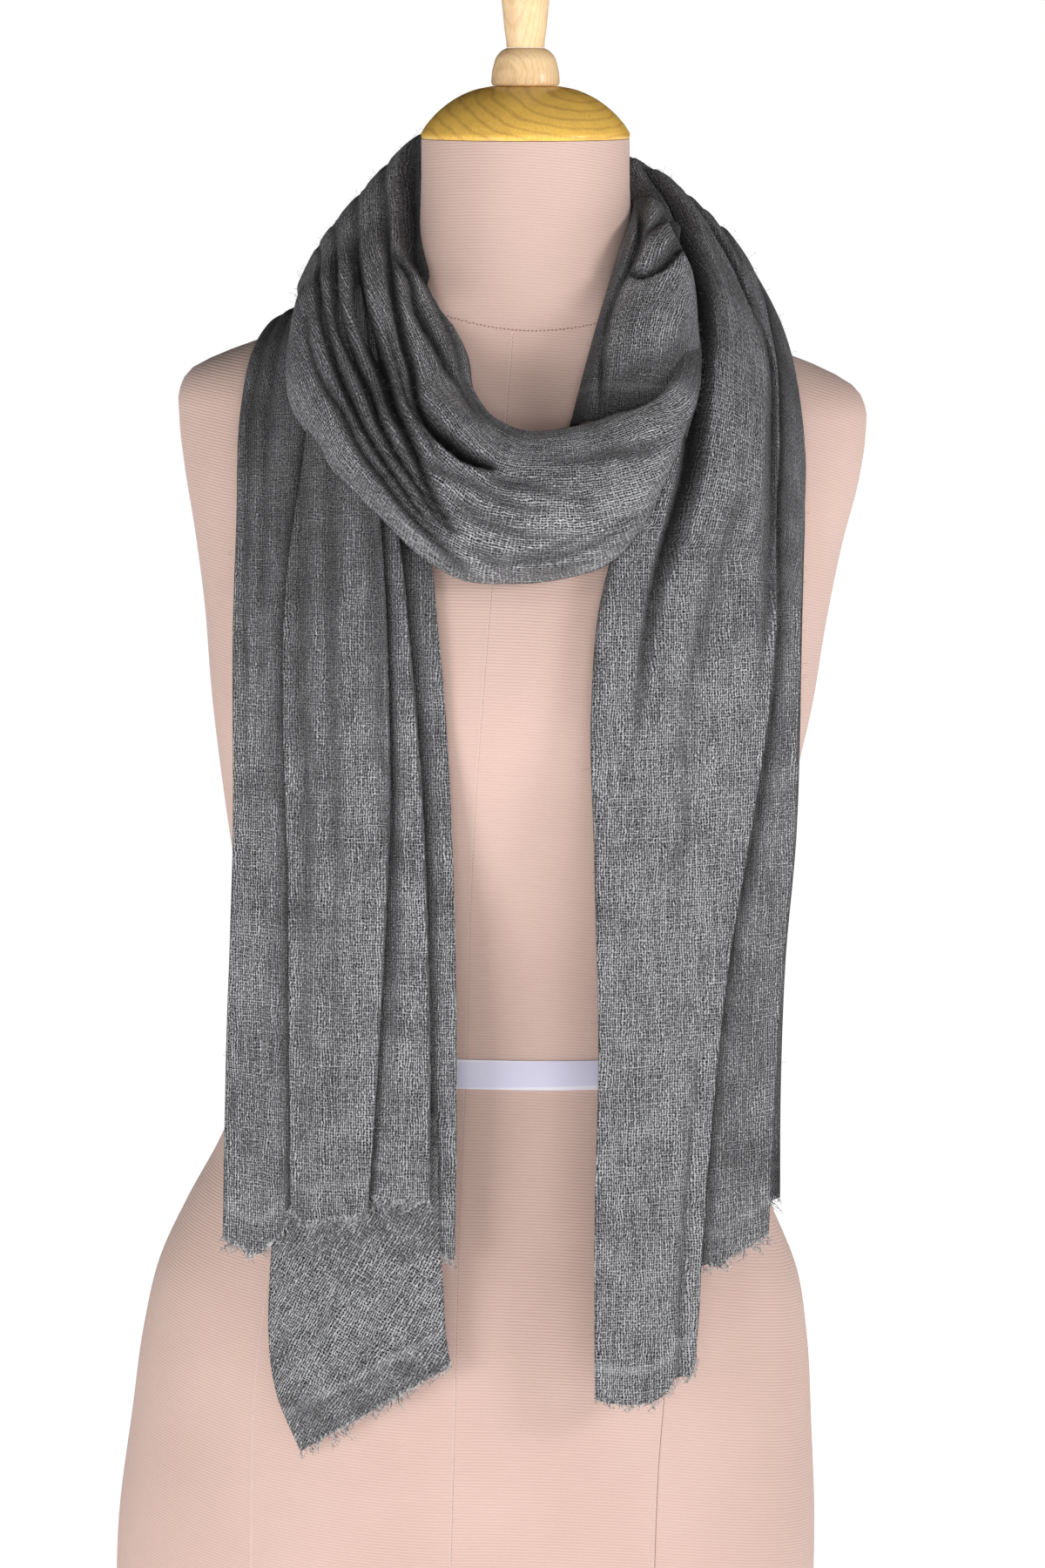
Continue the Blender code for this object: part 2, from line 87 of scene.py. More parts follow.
class Value:
    """A number in a shader graph, which can be used in ordinary sums."""

    def __init__(self, graph: Graph, socket: bpy.types.NodeSocket) -> None:
        self.graph = graph
        self.socket = socket

    def _math(self, operation: str, *others: object, reflected: bool = False) -> Value:
        """One Math node on this value and the others."""
        terms = [self, *others]
        if reflected:
            terms.reverse()
        return Value(self.graph, self.graph.node("ShaderNodeMath", terms, operation=operation).outputs[0])

    def __add__(self, other: object) -> Value:
        return self._math("ADD", other)

    __radd__ = __add__

    def __sub__(self, other: object) -> Value:
        return self._math("SUBTRACT", other)

    def __rsub__(self, other: object) -> Value:
        return self._math("SUBTRACT", other, reflected=True)

    def __mul__(self, other: object) -> Value:
        return self._math("MULTIPLY", other)

    __rmul__ = __mul__

    def __truediv__(self, other: object) -> Value:
        return self._math("DIVIDE", other)

    def __rtruediv__(self, other: object) -> Value:
        return self._math("DIVIDE", other, reflected=True)

    def __pow__(self, other: object) -> Value:
        return self._math("POWER", other)

    def wave(self, pitch: float) -> Value:
        """A cosine of this length, from -1 to 1."""
        return (self * (2 * math.pi / pitch))._math("COSINE")

    def most(self, other: object) -> Value:
        """The larger of two."""
        return self._math("MAXIMUM", other)

    def absolute(self) -> Value:
        """Without its sign."""
        return self._math("ABSOLUTE")

    def ramp(self, low: float, high: float, to_low: float = 0.0, to_high: float = 1.0) -> Value:
        """A smooth step from one level to another."""
        node = self.graph.node("ShaderNodeMapRange", [self, low, high, to_low, to_high],
                               interpolation_type="SMOOTHSTEP")
        return Value(self.graph, node.outputs[0])


class NodeTree:
    """A tree of shader nodes, with one method that adds them."""

    def __init__(self, tree: bpy.types.NodeTree) -> None:
        self.tree = tree

    def feed(self, node: bpy.types.Node, key: int | str, item: object) -> None:
        """Set one input of a node from a value, a socket or a constant."""
        source = item.socket if isinstance(item, Value) else item
        if isinstance(source, bpy.types.NodeSocket):
            self.tree.links.new(source, node.inputs[key])
        else:
            node.inputs[key].default_value = source

    def node(self, kind: str, inputs: Sequence[object] | dict = (), **settings: object) -> bpy.types.Node:
        """Add a node, set its properties and feed its inputs.

        Args:
            kind: The node's type.
            inputs: Values, sockets or constants, by place or by name.
            **settings: Properties of the node.

        Returns:
            The node.
        """
        node = self.tree.nodes.new(kind)
        for name, setting in settings.items():
            setattr(node, name, setting)
        for key, item in inputs.items() if isinstance(inputs, dict) else enumerate(inputs):
            self.feed(node, key, item)
        return node


class Graph(NodeTree):
    """The nodes of one Principled material."""

    MIX_FACTOR, MIX_LOW, MIX_HIGH, MIX_COLOUR = 0, 6, 7, 2     # places of a Mix node's colour sockets

    def __init__(self, name: str, **constants: object) -> None:
        self.material = bpy.data.materials.new(name)
        self.material.use_nodes = True
        super().__init__(self.material.node_tree)
        self.shader = self.tree.nodes["Principled BSDF"]
        for socket, value in constants.items():
            self.feed(self.shader, socket.replace("_", " "), value)

    def plane(self) -> tuple[Value, Value]:
        """The cloth's own lengths across and along, in millimetres."""
        parts = self.node("ShaderNodeSeparateXYZ", [self.node("ShaderNodeUVMap").outputs[0]])
        return tuple(Value(self, parts.outputs[axis]) * (1 / MM) for axis in range(2))

    def place(self) -> tuple[Value, Value, Value]:
        """The object's own coordinates, in millimetres."""
        parts = self.node("ShaderNodeSeparateXYZ", [self.node("ShaderNodeTexCoord").outputs["Object"]])
        return tuple(Value(self, parts.outputs[axis]) * (1 / MM) for axis in range(3))

    def attribute(self, name: str) -> Value:
        """A number that the mesh carries at each point."""
        node = self.node("ShaderNodeAttribute", attribute_name=name)
        return Value(self, node.outputs["Fac"])

    def noise(self, x: object, y: object, z: object = 0.0, detail: float = 2.0) -> Value:
        """Soft noise round 0.5, with features about one unit across."""
        point = self.node("ShaderNodeCombineXYZ", [x, y, z]).outputs[0]
        node = self.node("ShaderNodeTexNoise", {"Vector": point, "Scale": 1.0, "Detail": detail})
        return Value(self, node.outputs[0])

    def mix(self, factor: Value, low: Colour, high: Colour) -> bpy.types.NodeSocket:
        """A colour between two colours."""
        inputs = {self.MIX_FACTOR: factor, self.MIX_LOW: low, self.MIX_HIGH: high}
        return self.node("ShaderNodeMix", inputs, data_type="RGBA").outputs[self.MIX_COLOUR]

    def finish(self, colour: bpy.types.NodeSocket | None = None, height: Value | None = None,
               relief: float = 0.0) -> bpy.types.Material:
        """Feed the shader and return the material.

        Args:
            colour: Socket of the base colour.
            height: Height of the relief, in millimetres.
            relief: How strongly the relief shows.

        Returns:
            The material.
        """
        if colour is not None:
            self.feed(self.shader, "Base Color", colour)
        if height is not None:
            bump = self.node("ShaderNodeBump", {"Strength": relief, "Distance": MM, "Height": height})
            self.feed(self.shader, "Normal", bump.outputs[0])
        return self.material


# ---------------------------------------------------------------------------------------------
# Finishes
# ---------------------------------------------------------------------------------------------

@dataclass(frozen=True)
class WoolFinish:
    """An open gauze of light and dark grey threads with slubs, in a closer weave where it is gathered, and
    darkened by painted shade in its bunches, creases and shadows.
    """

    name: str = "wool_gauze"
    thread: Colour = (0.62, 0.62, 0.639, 1.0)
    # gap: the holes between the threads, painted near black for the shade behind the cloth; painted shade
    # also darkens towards it
    gap: Colour = (0.006, 0.006, 0.0063, 1.0)
    pitch: float = 1.2           # from one warp to the next
    weft_part: float = 1.1       # from one weft to the next, against that
    close_pitch: float = 0.95    # the same where the cloth is gathered
    close_weft_part: float = 1.2
    gathering: float = 0.7       # how far the close weave takes over there
    wander: float = 1.35         # how far the threads stray, in millimetres
    mottle: float = 26.0         # size of the cloudy patches
    streak: float = 24.0         # length of the lighter yarn stretches
    band_at: float = 17.0        # height above the hem of the closer wefts
    band_width: float = 3.0
    band_light: float = 0.12
    relief: float = 0.9

    def build(self) -> bpy.types.Material:
        """Make the material."""
        graph = Graph(self.name, Roughness=0.95, Sheen_Weight=0.08, Sheen_Roughness=0.6,
                      Sheen_Tint=(0.75, 0.75, 0.78, 1.0), Specular_IOR_Level=0.1)
        u, v = graph.plane()
        dark = graph.attribute(SHADE_AND_TONE)
        across = u + self.stray(graph, u, v, 0.0)
        along = v + self.stray(graph, v, u, 40.0)
        threads = self.open_weave(graph, u, v, across, along)
        # The close weave of gathered cloth takes over where the painted shade is deep.
        gathered = dark.ramp(0.08, 0.45, 0.0, self.gathering)
        threads = threads * (1.0 - gathered) + self.close_weave(graph, u, v, across, along) * gathered
        cloud = graph.noise(u / self.mottle, v / self.mottle, 3.0, detail=4.0).ramp(0.30, 0.70, 0.74, 1.18)
        off_band = (graph.attribute(ABOVE) - self.band_at).absolute() / self.band_width
        # (1 - dark) paints in shade: in bunches, creases, tucks and beside the layers' edges; cloud is
        # random tone.
        shade = (threads + off_band.ramp(0.4, 1.0, self.band_light, 0.0)) * cloud * (1.0 - dark)
        return graph.finish(graph.mix(shade, self.gap, self.thread), height=threads, relief=self.relief)

    def open_weave(self, graph: Graph, u: Value, v: Value, across: Value, along: Value) -> Value:
        """How light the threads of the open gauze are: the warp over the weft, with gaps between."""
        rise = self.pitch * self.weft_part
        warp = across.wave(self.pitch).ramp(-0.50, 0.30)
        weft = along.wave(rise).ramp(-0.10, 0.90)
        over = across.wave(self.pitch * 2) * along.wave(rise * 2) * 0.25
        cell = graph.noise(u / self.pitch * 0.9, v / self.pitch * 0.9, 5.0).ramp(0.34, 0.66, 0.45, 1.50)
        light = warp * self.yarn(graph, u, v, 0.0) * (0.85 + over)
        return light.most(weft * self.yarn(graph, v, u, 9.0) * (0.62 - over)) * cell

    def close_weave(self, graph: Graph, u: Value, v: Value, across: Value, along: Value) -> Value:
        """How light the threads are where the cloth is gathered: a close peppery weave."""
        speck = graph.noise(u * 1.5, v * 1.2, 21.0).ramp(0.36, 0.64, 0.10, 1.15)
        warp = across.wave(self.close_pitch).ramp(-0.8, 0.7, 0.25, 1.0)
        weft = along.wave(self.close_pitch * self.close_weft_part).ramp(-0.9, 0.5, 0.35, 1.0)
        return speck * (warp * weft)

    def stray(self, graph: Graph, across: Value, along: Value, seed: float) -> Value:
        """How far the threads stray sideways, in millimetres."""
        slow = graph.noise(across * 0.10 + seed, along * 0.05, detail=1.0) - 0.5
        fast = graph.noise(across * 0.55 + seed, along * 0.45, detail=1.0) - 0.5
        return slow * (self.wander * 2.5) + fast * self.wander

    def yarn(self, graph: Graph, across: Value, along: Value, seed: float) -> Value:
        """How light each thread is along its length."""
        thread = across / self.pitch
        slub = graph.noise(thread, along / self.streak + seed, detail=1.0)
        thick = graph.noise(thread * 0.5 + 70.0, along / (self.streak * 1.6) + seed, detail=0.0)
        return slub.ramp(0.34, 0.66, 0.45, 1.20) + thick.ramp(0.58, 0.80, 0.0, 0.55)


SLANT_WOOL = WoolFinish("wool_gauze_slant", pitch=1.28, wander=1.5, mottle=12.0, streak=10.0)


@dataclass(frozen=True)
class YarnFinish:
    """Loose ends of the same yarn, lighter and darker by turns."""

    name: str = "wool_yarn"
    light: Colour = (0.66, 0.66, 0.675, 1.0)
    dark: Colour = (0.10, 0.10, 0.105, 1.0)

    def build(self) -> bpy.types.Material:
        """Make the material."""
        graph = Graph(self.name, Roughness=0.95, Sheen_Weight=0.1)
        x, y, z = graph.place()
        turn = graph.noise(x * 0.9, y * 0.9, z * 0.35, detail=1.0).ramp(0.36, 0.64)
        return graph.finish(colour=graph.mix(turn, self.dark, self.light))


@dataclass(frozen=True)
class JerseyFinish:
    """A fine knit with level ribs."""

    colour: Colour = (0.74, 0.54, 0.475, 1.0)
    # The darker end: random tone, and painted shade in the ribs' grooves.
    groove: Colour = (0.56, 0.38, 0.325, 1.0)
    rib: float = 1.5
    sag: float = 0.0008          # how much the ribs slant towards the sides
    sway: float = 18.0           # size of the ribs' slow bends
    patch: float = 60.0          # size of the lighter and darker patches

    def build(self) -> bpy.types.Material:
        """Make the material."""
        graph = Graph("jersey", Roughness=0.85, Sheen_Weight=0.15, Specular_IOR_Level=0.2)
        x, y, z = graph.place()
        patch, sway = (graph.noise(x / size, y / size, z / size) for size in (self.patch, self.sway))
        level = z + x * x.absolute() * self.sag + (sway - 0.5) * 0.5
        ribs = level.wave(self.rib).ramp(-0.9, 0.6)
        grain = graph.noise(x * 1.3, y * 1.3, z * 2.6)
        # The ribs' part paints shade into their grooves; grain and patches are random tone.
        shade = ribs * 0.22 + grain * 0.48 + patch * 0.48
        return graph.finish(colour=graph.mix(shade, self.groove, self.colour), height=ribs, relief=0.18)


@dataclass(frozen=True)
class ThreadFinish:
    """Sewing thread."""

    name: str
    colour: Colour

    def build(self) -> bpy.types.Material:
        """Make the material."""
        return Graph(self.name, Base_Color=self.colour, Roughness=0.7).finish()


@dataclass(frozen=True)
class PineFinish:
    """Turned pine, with its growth rings cut at a slant."""

    name: str
    pale: Colour
    dark: Colour
    heart: tuple[float, float, float]     # a point on the log's axis, in millimetres
    squeeze: tuple[float, float, float]   # how fast the rings are crossed along each direction
    ring: float                            # width of one year's growth
    coat: float
    roughness: float
    late: float                            # how strongly each year's last growth shows

    def build(self) -> bpy.types.Material:
        """Make the material."""
        graph = Graph(self.name, Roughness=self.roughness, Coat_Weight=self.coat, Coat_Roughness=0.12,
                      Specular_IOR_Level=0.25)
        x, y, z = graph.place()
        off = [(at - heart) * squeeze for at, heart, squeeze in zip((x, y, z), self.heart, self.squeeze)]
        sway = (graph.noise(x / 26.0, y / 20.0, z / 20.0) - 0.5) * (self.ring * 1.1)
        radius = (off[0] * off[0] + off[1] * off[1] + off[2] * off[2]) ** 0.5 + sway
        year = radius.wave(self.ring).ramp(0.0, 1.0)
        late = year * year
        fibre = graph.noise(x * 1.6, y * 1.6, z * 0.25, detail=3.0).ramp(0.35, 0.65, -0.10, 0.22)
        cloud = graph.noise(x / 14.0, y / 14.0, z / 14.0 + 7.0).ramp(0.35, 0.70, 0.0, 0.25)
        return graph.finish(colour=graph.mix(late * self.late + fibre + cloud, self.pale, self.dark))


CAP_PINE = PineFinish(name="varnished_pine", pale=(1.0, 0.62, 0.125, 1.0), dark=(0.60, 0.32, 0.08, 1.0),
                      heart=(60.0, -40.0, 806.0), squeeze=(0.52, 0.12, 1.0), ring=4.6, coat=0.25,
                      roughness=0.40, late=0.42)
KNOB_PINE = PineFinish(name="pale_pine", pale=(0.97, 0.70, 0.40, 1.0), dark=(0.70, 0.42, 0.20, 1.0),
                       heart=(62.0, 30.0, 830.0), squeeze=(1.0, 1.0, 0.03), ring=2.1, coat=0.20,
                       roughness=0.42, late=0.28)


@dataclass(frozen=True)
class SatinFinish:
    """Woven satin tape with closer edges."""

    low: float                   # the tape's edges, in millimetres above the base
    high: float
    colour: Colour = (0.72, 0.70, 0.87, 1.0)
    edge: Colour = (0.88, 0.87, 0.97, 1.0)

    def build(self) -> bpy.types.Material:
        """Make the material."""
        graph = Graph("satin", Roughness=0.38, Sheen_Weight=0.2)
        x, y, z = graph.place()
        middle = (self.low + self.high) / 2
        rim = ((z - middle).absolute() / (middle - self.low)).ramp(0.80, 0.95)
        weave = graph.noise(x * 0.5, y * 0.5, z * 3.0).ramp(0.2, 0.8, -0.15, 0.15)
        return graph.finish(colour=graph.mix(rim + weave, self.colour, self.edge))


# ---------------------------------------------------------------------------------------------
# Tables and curves
# ---------------------------------------------------------------------------------------------

def through(keys: Sequence[float], values: Sequence, at: np.ndarray) -> np.ndarray:
    """Values on the smooth curve that passes through the rows of a table.

    Args:
        keys: Where the rows lie, rising.
        values: One row of values for each key.
        at: Where values are wanted.

    Returns:
        One row of values for each place in at.
    """
    keys = np.asarray(keys, float)
    values = np.asarray(values, float)
    flat = values.ndim == 1
    if flat:
        values = values[:, None]
    at = np.clip(np.asarray(at, float), keys[0], keys[-1])
    slopes = np.gradient(values, keys, axis=0)
    left = np.clip(np.searchsorted(keys, at, side="right") - 1, 0, len(keys) - 2)
    span = (keys[left + 1] - keys[left])[:, None]
    t = (at - keys[left])[:, None] / span
    found = ((2 * t ** 3 - 3 * t ** 2 + 1) * values[left] + (t ** 3 - 2 * t ** 2 + t) * span * slopes[left]
             + (3 * t ** 2 - 2 * t ** 3) * values[left + 1] + (t ** 3 - t ** 2) * span * slopes[left + 1])
    return found[:, 0] if flat else found


def lengths(points: np.ndarray) -> np.ndarray:
    """How far along a line each of its points lies."""
    steps = np.linalg.norm(np.diff(points, axis=-2), axis=-1)
    return np.concatenate([np.zeros_like(steps[..., :1]), np.cumsum(steps, axis=-1)], axis=-1)


def smoothstep(low: float, high: float, at: np.ndarray) -> np.ndarray:
    """A smooth rise from 0 at low to 1 at high."""
    part = np.clip((at - low) / (high - low), 0, 1)
    return part * part * (3 - 2 * part)


@dataclass(frozen=True)
class Groove:
    """A soft trough between two ridges of the bunched cloth."""

    path: tuple[tuple[float, float, float], ...]     # station, part of the way across, depth
    reach_a: float                                   # how far it reaches on either side, in millimetres
    reach_b: float
    sharp: float = 1.5
    shade: float = 1.0                               # how strongly it is in shadow
    STEP = 2.5                                       # between the points at which its path is followed

    def depth(self, keys: np.ndarray, widths: np.ndarray, along: np.ndarray,
              sideways: np.ndarray) -> np.ndarray:
        """How far the cloth is pressed in, in millimetres.

        Args:
            keys: How far along each station lies.
            widths: The width at each station.
            along: How far along each row lies.
            sideways: How far across each point lies, in millimetres.

        Returns:
            The depth at each point.
        """
        rows = np.array(self.path)
        stations = np.arange(len(keys))
        run = np.stack([np.interp(rows[:, 0], stations, keys),
                        rows[:, 1] * np.interp(rows[:, 0], stations, widths)], axis=1)
        way = lengths(run)
        even = np.linspace(0, way[-1], max(int(way[-1] / self.STEP), 2))
        run, deep = through(way, run, even), np.clip(through(way, rows[:, 2], even), 0, None)
        heading = np.gradient(run, axis=0)
        heading /= np.linalg.norm(heading, axis=1)[:, None]
        depth = np.zeros_like(sideways)
        reach = max(self.reach_a, self.reach_b)
        near = (along > run[:, 0].min() - reach) & (along < run[:, 0].max() + reach)
        points = np.stack(np.broadcast_arrays(along[near, None], sideways[near]), axis=2)
        off = points[:, :, None] - run
        nearest = (off ** 2).sum(axis=3).argmin(axis=2)
        off = np.take_along_axis(off, nearest[:, :, None, None], axis=2)[:, :, 0]
        head = heading[nearest]
        side = head[:, :, 0] * off[:, :, 1] - head[:, :, 1] * off[:, :, 0]
        distance = np.linalg.norm(off, axis=2)
        narrow = 0.5 + 0.5 * deep[nearest] / max(deep.max(), 1e-6)
        away = distance / (np.where(side < 0, self.reach_a, self.reach_b) * narrow)
        depth[near] = deep[nearest] * np.clip(1 - away, 0, 1) ** self.sharp
        return depth


@dataclass(frozen=True)
class Bulge:
    """A soft swelling at one place."""

    station: float
    across: float
    height: float
    stations: float      # how far it reaches along, in stations
    reach: float         # how far it reaches across, in millimetres

    def rise(self, station: np.ndarray, across: np.ndarray, width: np.ndarray) -> np.ndarray:
        """How far the cloth stands out, in millimetres."""
        along = ((station - self.station) / self.stations)[:, None]
        sideways = (across - self.across) * width[:, None] / self.reach
        return self.height * np.exp(-along ** 2 - sideways ** 2)


@dataclass(frozen=True)
class Fold:
    """An edge or a flat fold that runs down a hanging end."""

    layer: int                       # of the cloth from this line to the next, from the front
    across: tuple[float, ...]        # at each of the fold places
    dark: float = 0.0                # how much darker the cloth is from this line to the next


FOLD_PLACES = (0.0, 0.15, 0.42, 0.76, 1.0)
TRAVEL_STEP = 1.0            # reach of the step that finds which way the cloth runs


@dataclass(frozen=True)
class Course:
    """The cloth's way round the form: one row for each line across it, from edge a to edge b."""

    rows: tuple[tuple[float, ...], ...]       # ax, ay, az, bx, by, bz, swell
    grooves: tuple[Groove, ...] = ()
    bulges: tuple[Bulge, ...] = ()
    roll_a: float = 0.0                       # how far edge a turns in
    roll_b: float = 0.0
    roll_part: float = 0.10                   # the part of the width that turns in

    def smooth(self) -> Course:
        """The same course without its grooves, by which the weave is laid out."""
        return replace(self, grooves=())

    def keys(self) -> np.ndarray:
        """How far along each station lies."""
        table = np.array(self.rows, float)
        middles = (table[:, 0:3] + table[:, 3:6]) / 2
        return lengths(middles)

    def width(self, along: np.ndarray) -> np.ndarray:
        """The straight width at each place."""
        rows = through(self.keys(), self.rows, along)
        return np.linalg.norm(rows[:, 3:6] - rows[:, 0:3], axis=1)

    def pressed(self, along: np.ndarray, across: np.ndarray, shaded: bool = False) -> np.ndarray:
        """How far the grooves press the cloth in at each point, or how far they seem to for their shade."""
        keys = self.keys()
        sideways = across * self.width(along)[:, None]
        depth = np.zeros_like(across)
        for groove in self.grooves:
            weight = groove.shade if shaded else 1.0
            depth = np.maximum(depth, weight * groove.depth(keys, self.width(keys), along, sideways))
        return depth

    def points(self, along: np.ndarray, across: np.ndarray, inset: np.ndarray,
               rolled: np.ndarray | float = 1.0) -> np.ndarray:
        """Points of the cloth in millimetres.

        Args:
            along: The place of each row.
            across: The part of the way across of each point.
            inset: How far each point lies inside the outer layer.
            rolled: How much of the edges' roll applies at each row.

        Returns:
            Rows of points.
        """
        keys = self.keys()
        rows = through(keys, self.rows, along)
        edge_a, edge_b, swell = rows[:, 0:3], rows[:, 3:6], rows[:, 6]
        chord = edge_b - edge_a
        width = np.linalg.norm(chord, axis=1)
        ahead, behind = (through(keys, self.rows, along + step) for step in (TRAVEL_STEP, -TRAVEL_STEP))
        travel = (ahead[:, 0:3] + ahead[:, 3:6]) - (behind[:, 0:3] + behind[:, 3:6])
        normal = np.cross(travel, chord)
        normal /= np.linalg.norm(normal, axis=1)[:, None]
        station = np.interp(along, keys, np.arange(len(keys)))
        lift = swell[:, None] * 4 * across * (1 - across) - inset
        lift = lift - self.pressed(along, across)
        for bulge in self.bulges:
            lift = lift + bulge.rise(station, across, width)
        near_a = np.clip(1 - across / self.roll_part, 0, 1) ** 2
        near_b = np.clip(1 - (1 - across) / self.roll_part, 0, 1) ** 2
        rolled = np.broadcast_to(rolled, along.shape)[:, None]
        lift = lift - rolled * (near_a * self.roll_a + near_b * self.roll_b)
        return edge_a[:, None] + chord[:, None] * across[..., None] + normal[:, None] * lift[..., None]


# ---------------------------------------------------------------------------------------------
# Meshes
# ---------------------------------------------------------------------------------------------

def new_object(name: str, data: bpy.types.ID) -> bpy.types.Object:
    """An object at the origin, linked into the scene."""
    thing = bpy.data.objects.new(name, data)
    bpy.context.collection.objects.link(thing)
    return thing


def grid_mesh(name: str, points: np.ndarray, plane: np.ndarray, dark: np.ndarray) -> bpy.types.Object:
    """A grid of cloth through rows of points.

    Args:
        name: The object's name.
        points: Rows of points in millimetres.
        plane: The cloth's own lengths at each point, in millimetres.
        dark: How much darker the cloth is at each point, from 0 to 1: mostly painted shade.

    Returns:
        The object.
    """
    rows, columns = points.shape[:2]
    bm = bmesh.new()
    bmesh.ops.create_grid(bm, x_segments=columns - 1, y_segments=rows - 1, size=0.5, calc_uvs=True)
    mesh = bpy.data.meshes.new(name)
    bm.to_mesh(mesh)
    bm.free()
    flat = np.empty(len(mesh.vertices) * 3)
    mesh.vertices.foreach_get("co", flat)
    column, row = (np.rint((flat[axis::3] + 0.5) * (count - 1)).astype(int)
                   for axis, count in enumerate((columns, rows)))
    mesh.vertices.foreach_set("co", (points[row, column] * MM).ravel())
    corner = np.empty(len(mesh.loops), dtype=np.int32)
    mesh.loops.foreach_get("vertex_index", corner)
    layer = mesh.uv_layers.active or mesh.uv_layers.new(name="UVMap")
    layer.data.foreach_set("uv", (plane[row, column][corner] * MM).ravel())
    above = points[:, :, 2] - points[-1:, :, 2]
    for label, value in ((SHADE_AND_TONE, dark), (ABOVE, above)):
        mesh.attributes.new(label, "FLOAT", "POINT").data.foreach_set("value", value[row, column])
    mesh.update()
    mesh.shade_smooth()
    return new_object(name, mesh)


EVEN_AFTER = 220.0           # the weave runs straight across this far above the hanging part


def cloth_plane(points: np.ndarray, along: np.ndarray, hang_from: float,
                marks: np.ndarray | None = None) -> np.ndarray:
    """The cloth's own lengths: across from its first column, and up.

    Args:
        points: Rows of points in millimetres; the last row is the lowest.
        along: How far along the course each row lies.
        hang_from: Where along the course the cloth starts to hang in flat layers.
        marks: The run of the folded section that each point lies in.

    Returns:
        Two lengths for each point.
    """
    first = int(np.searchsorted(along, hang_from).clip(0, len(along) - 1))
    height = points[:, :, 2]
    before = np.clip(along[first] - along, 0, None)[:, None]
    mean = height[first].mean()
    uneven = (height[first] - mean) * np.clip(1 - before / EVEN_AFTER, 0, 1)
    up = np.where(before > 0, mean + uneven + before, height)
    across = lengths(points)
    if marks is not None:
        run = np.floor(marks[first:])
        x = points[first:, :, 0]
        for one in np.unique(run[0]):
            inside = run[0] == one
            way = np.sign(x[0][inside][-1] - x[0][inside][0]) or 1.0
            start = (across[first][inside] - way * x[0][inside]).mean()
            across[first:][run == one] = (way * x + start)[run == one]
    return np.stack([across, up], axis=2)


def ring(points: Sequence[Sequence[float]], bm: bmesh.types.BMesh) -> list:
    """A closed ring of edges through points in millimetres."""
    verts = bmesh.ops.create_circle(bm, cap_ends=False, segments=len(points), radius=1.0)["verts"]
    for vert, point in zip(verts, points):
        vert.co = Vector(point) * MM
    return list({edge for vert in verts for edge in vert.link_edges})


def loft(name: str, rings: Sequence, closed_on_itself: bool = False) -> bpy.types.Object:
    """A skin over rings of points, capped unless it closes on itself."""
    bm = bmesh.new()
    loops = [ring(points, bm) for points in rings]
    pairs = list(zip(loops, loops[1:]))
    if closed_on_itself:
        pairs.append((loops[-1], loops[0]))
    for lower, upper in pairs:
        bmesh.ops.bridge_loops(bm, edges=lower + upper)
    if not closed_on_itself:
        for end in (loops[0], loops[-1]):
            bmesh.ops.contextual_create(bm, geom=end)
    bmesh.ops.recalc_face_normals(bm, faces=bm.faces)
    return mesh_object(name, bm)


def mesh_object(name: str, bm: bmesh.types.BMesh, sharp_over: float = 50.0) -> bpy.types.Object:
    """Turn a bmesh into a smooth-shaded object."""
    mesh = bpy.data.meshes.new(name)
    bm.to_mesh(mesh)
    bm.free()
    mesh.shade_smooth()
    mesh.set_sharp_from_angle(angle=math.radians(sharp_over))
    return new_object(name, mesh)


def strands(name: str, paths: Sequence[np.ndarray], radius: float, taper: float = 1.0) -> bpy.types.Object:
    """Thin threads through paths of points in millimetres, joined in one mesh."""
    curve = bpy.data.curves.new(name, "CURVE")
    curve.dimensions = "3D"
    curve.bevel_depth = radius * MM
    curve.bevel_resolution = 0
    curve.use_fill_caps = True
    for path in paths:
        spline = curve.splines.new("POLY")
        spline.points.add(len(path) - 1)
        for index, (point, place) in enumerate(zip(spline.points, path)):
            point.co = (*(place * MM), 1.0)
            point.radius = 1 + (taper - 1) * index / (len(path) - 1)
    holder = new_object(name + "_curve", curve)
    mesh = bpy.data.meshes.new_from_object(holder.evaluated_get(bpy.context.evaluated_depsgraph_get()))
    bpy.data.objects.remove(holder, do_unlink=True)
    mesh.shade_smooth()
    return new_object(name, mesh)


def adopt(thing: bpy.types.Object, material: bpy.types.Material, slot: Slot,
          *nodes: str) -> bpy.types.Object:
    """Give a piece its finish, and let it stand for the frame's nodes."""
    thing.data.materials.clear()
    thing.data.materials.append(material)
    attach(thing, BODY)
    if nodes:
        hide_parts(*nodes)
    return thing


# ---------------------------------------------------------------------------------------------
# The dress form
# ---------------------------------------------------------------------------------------------

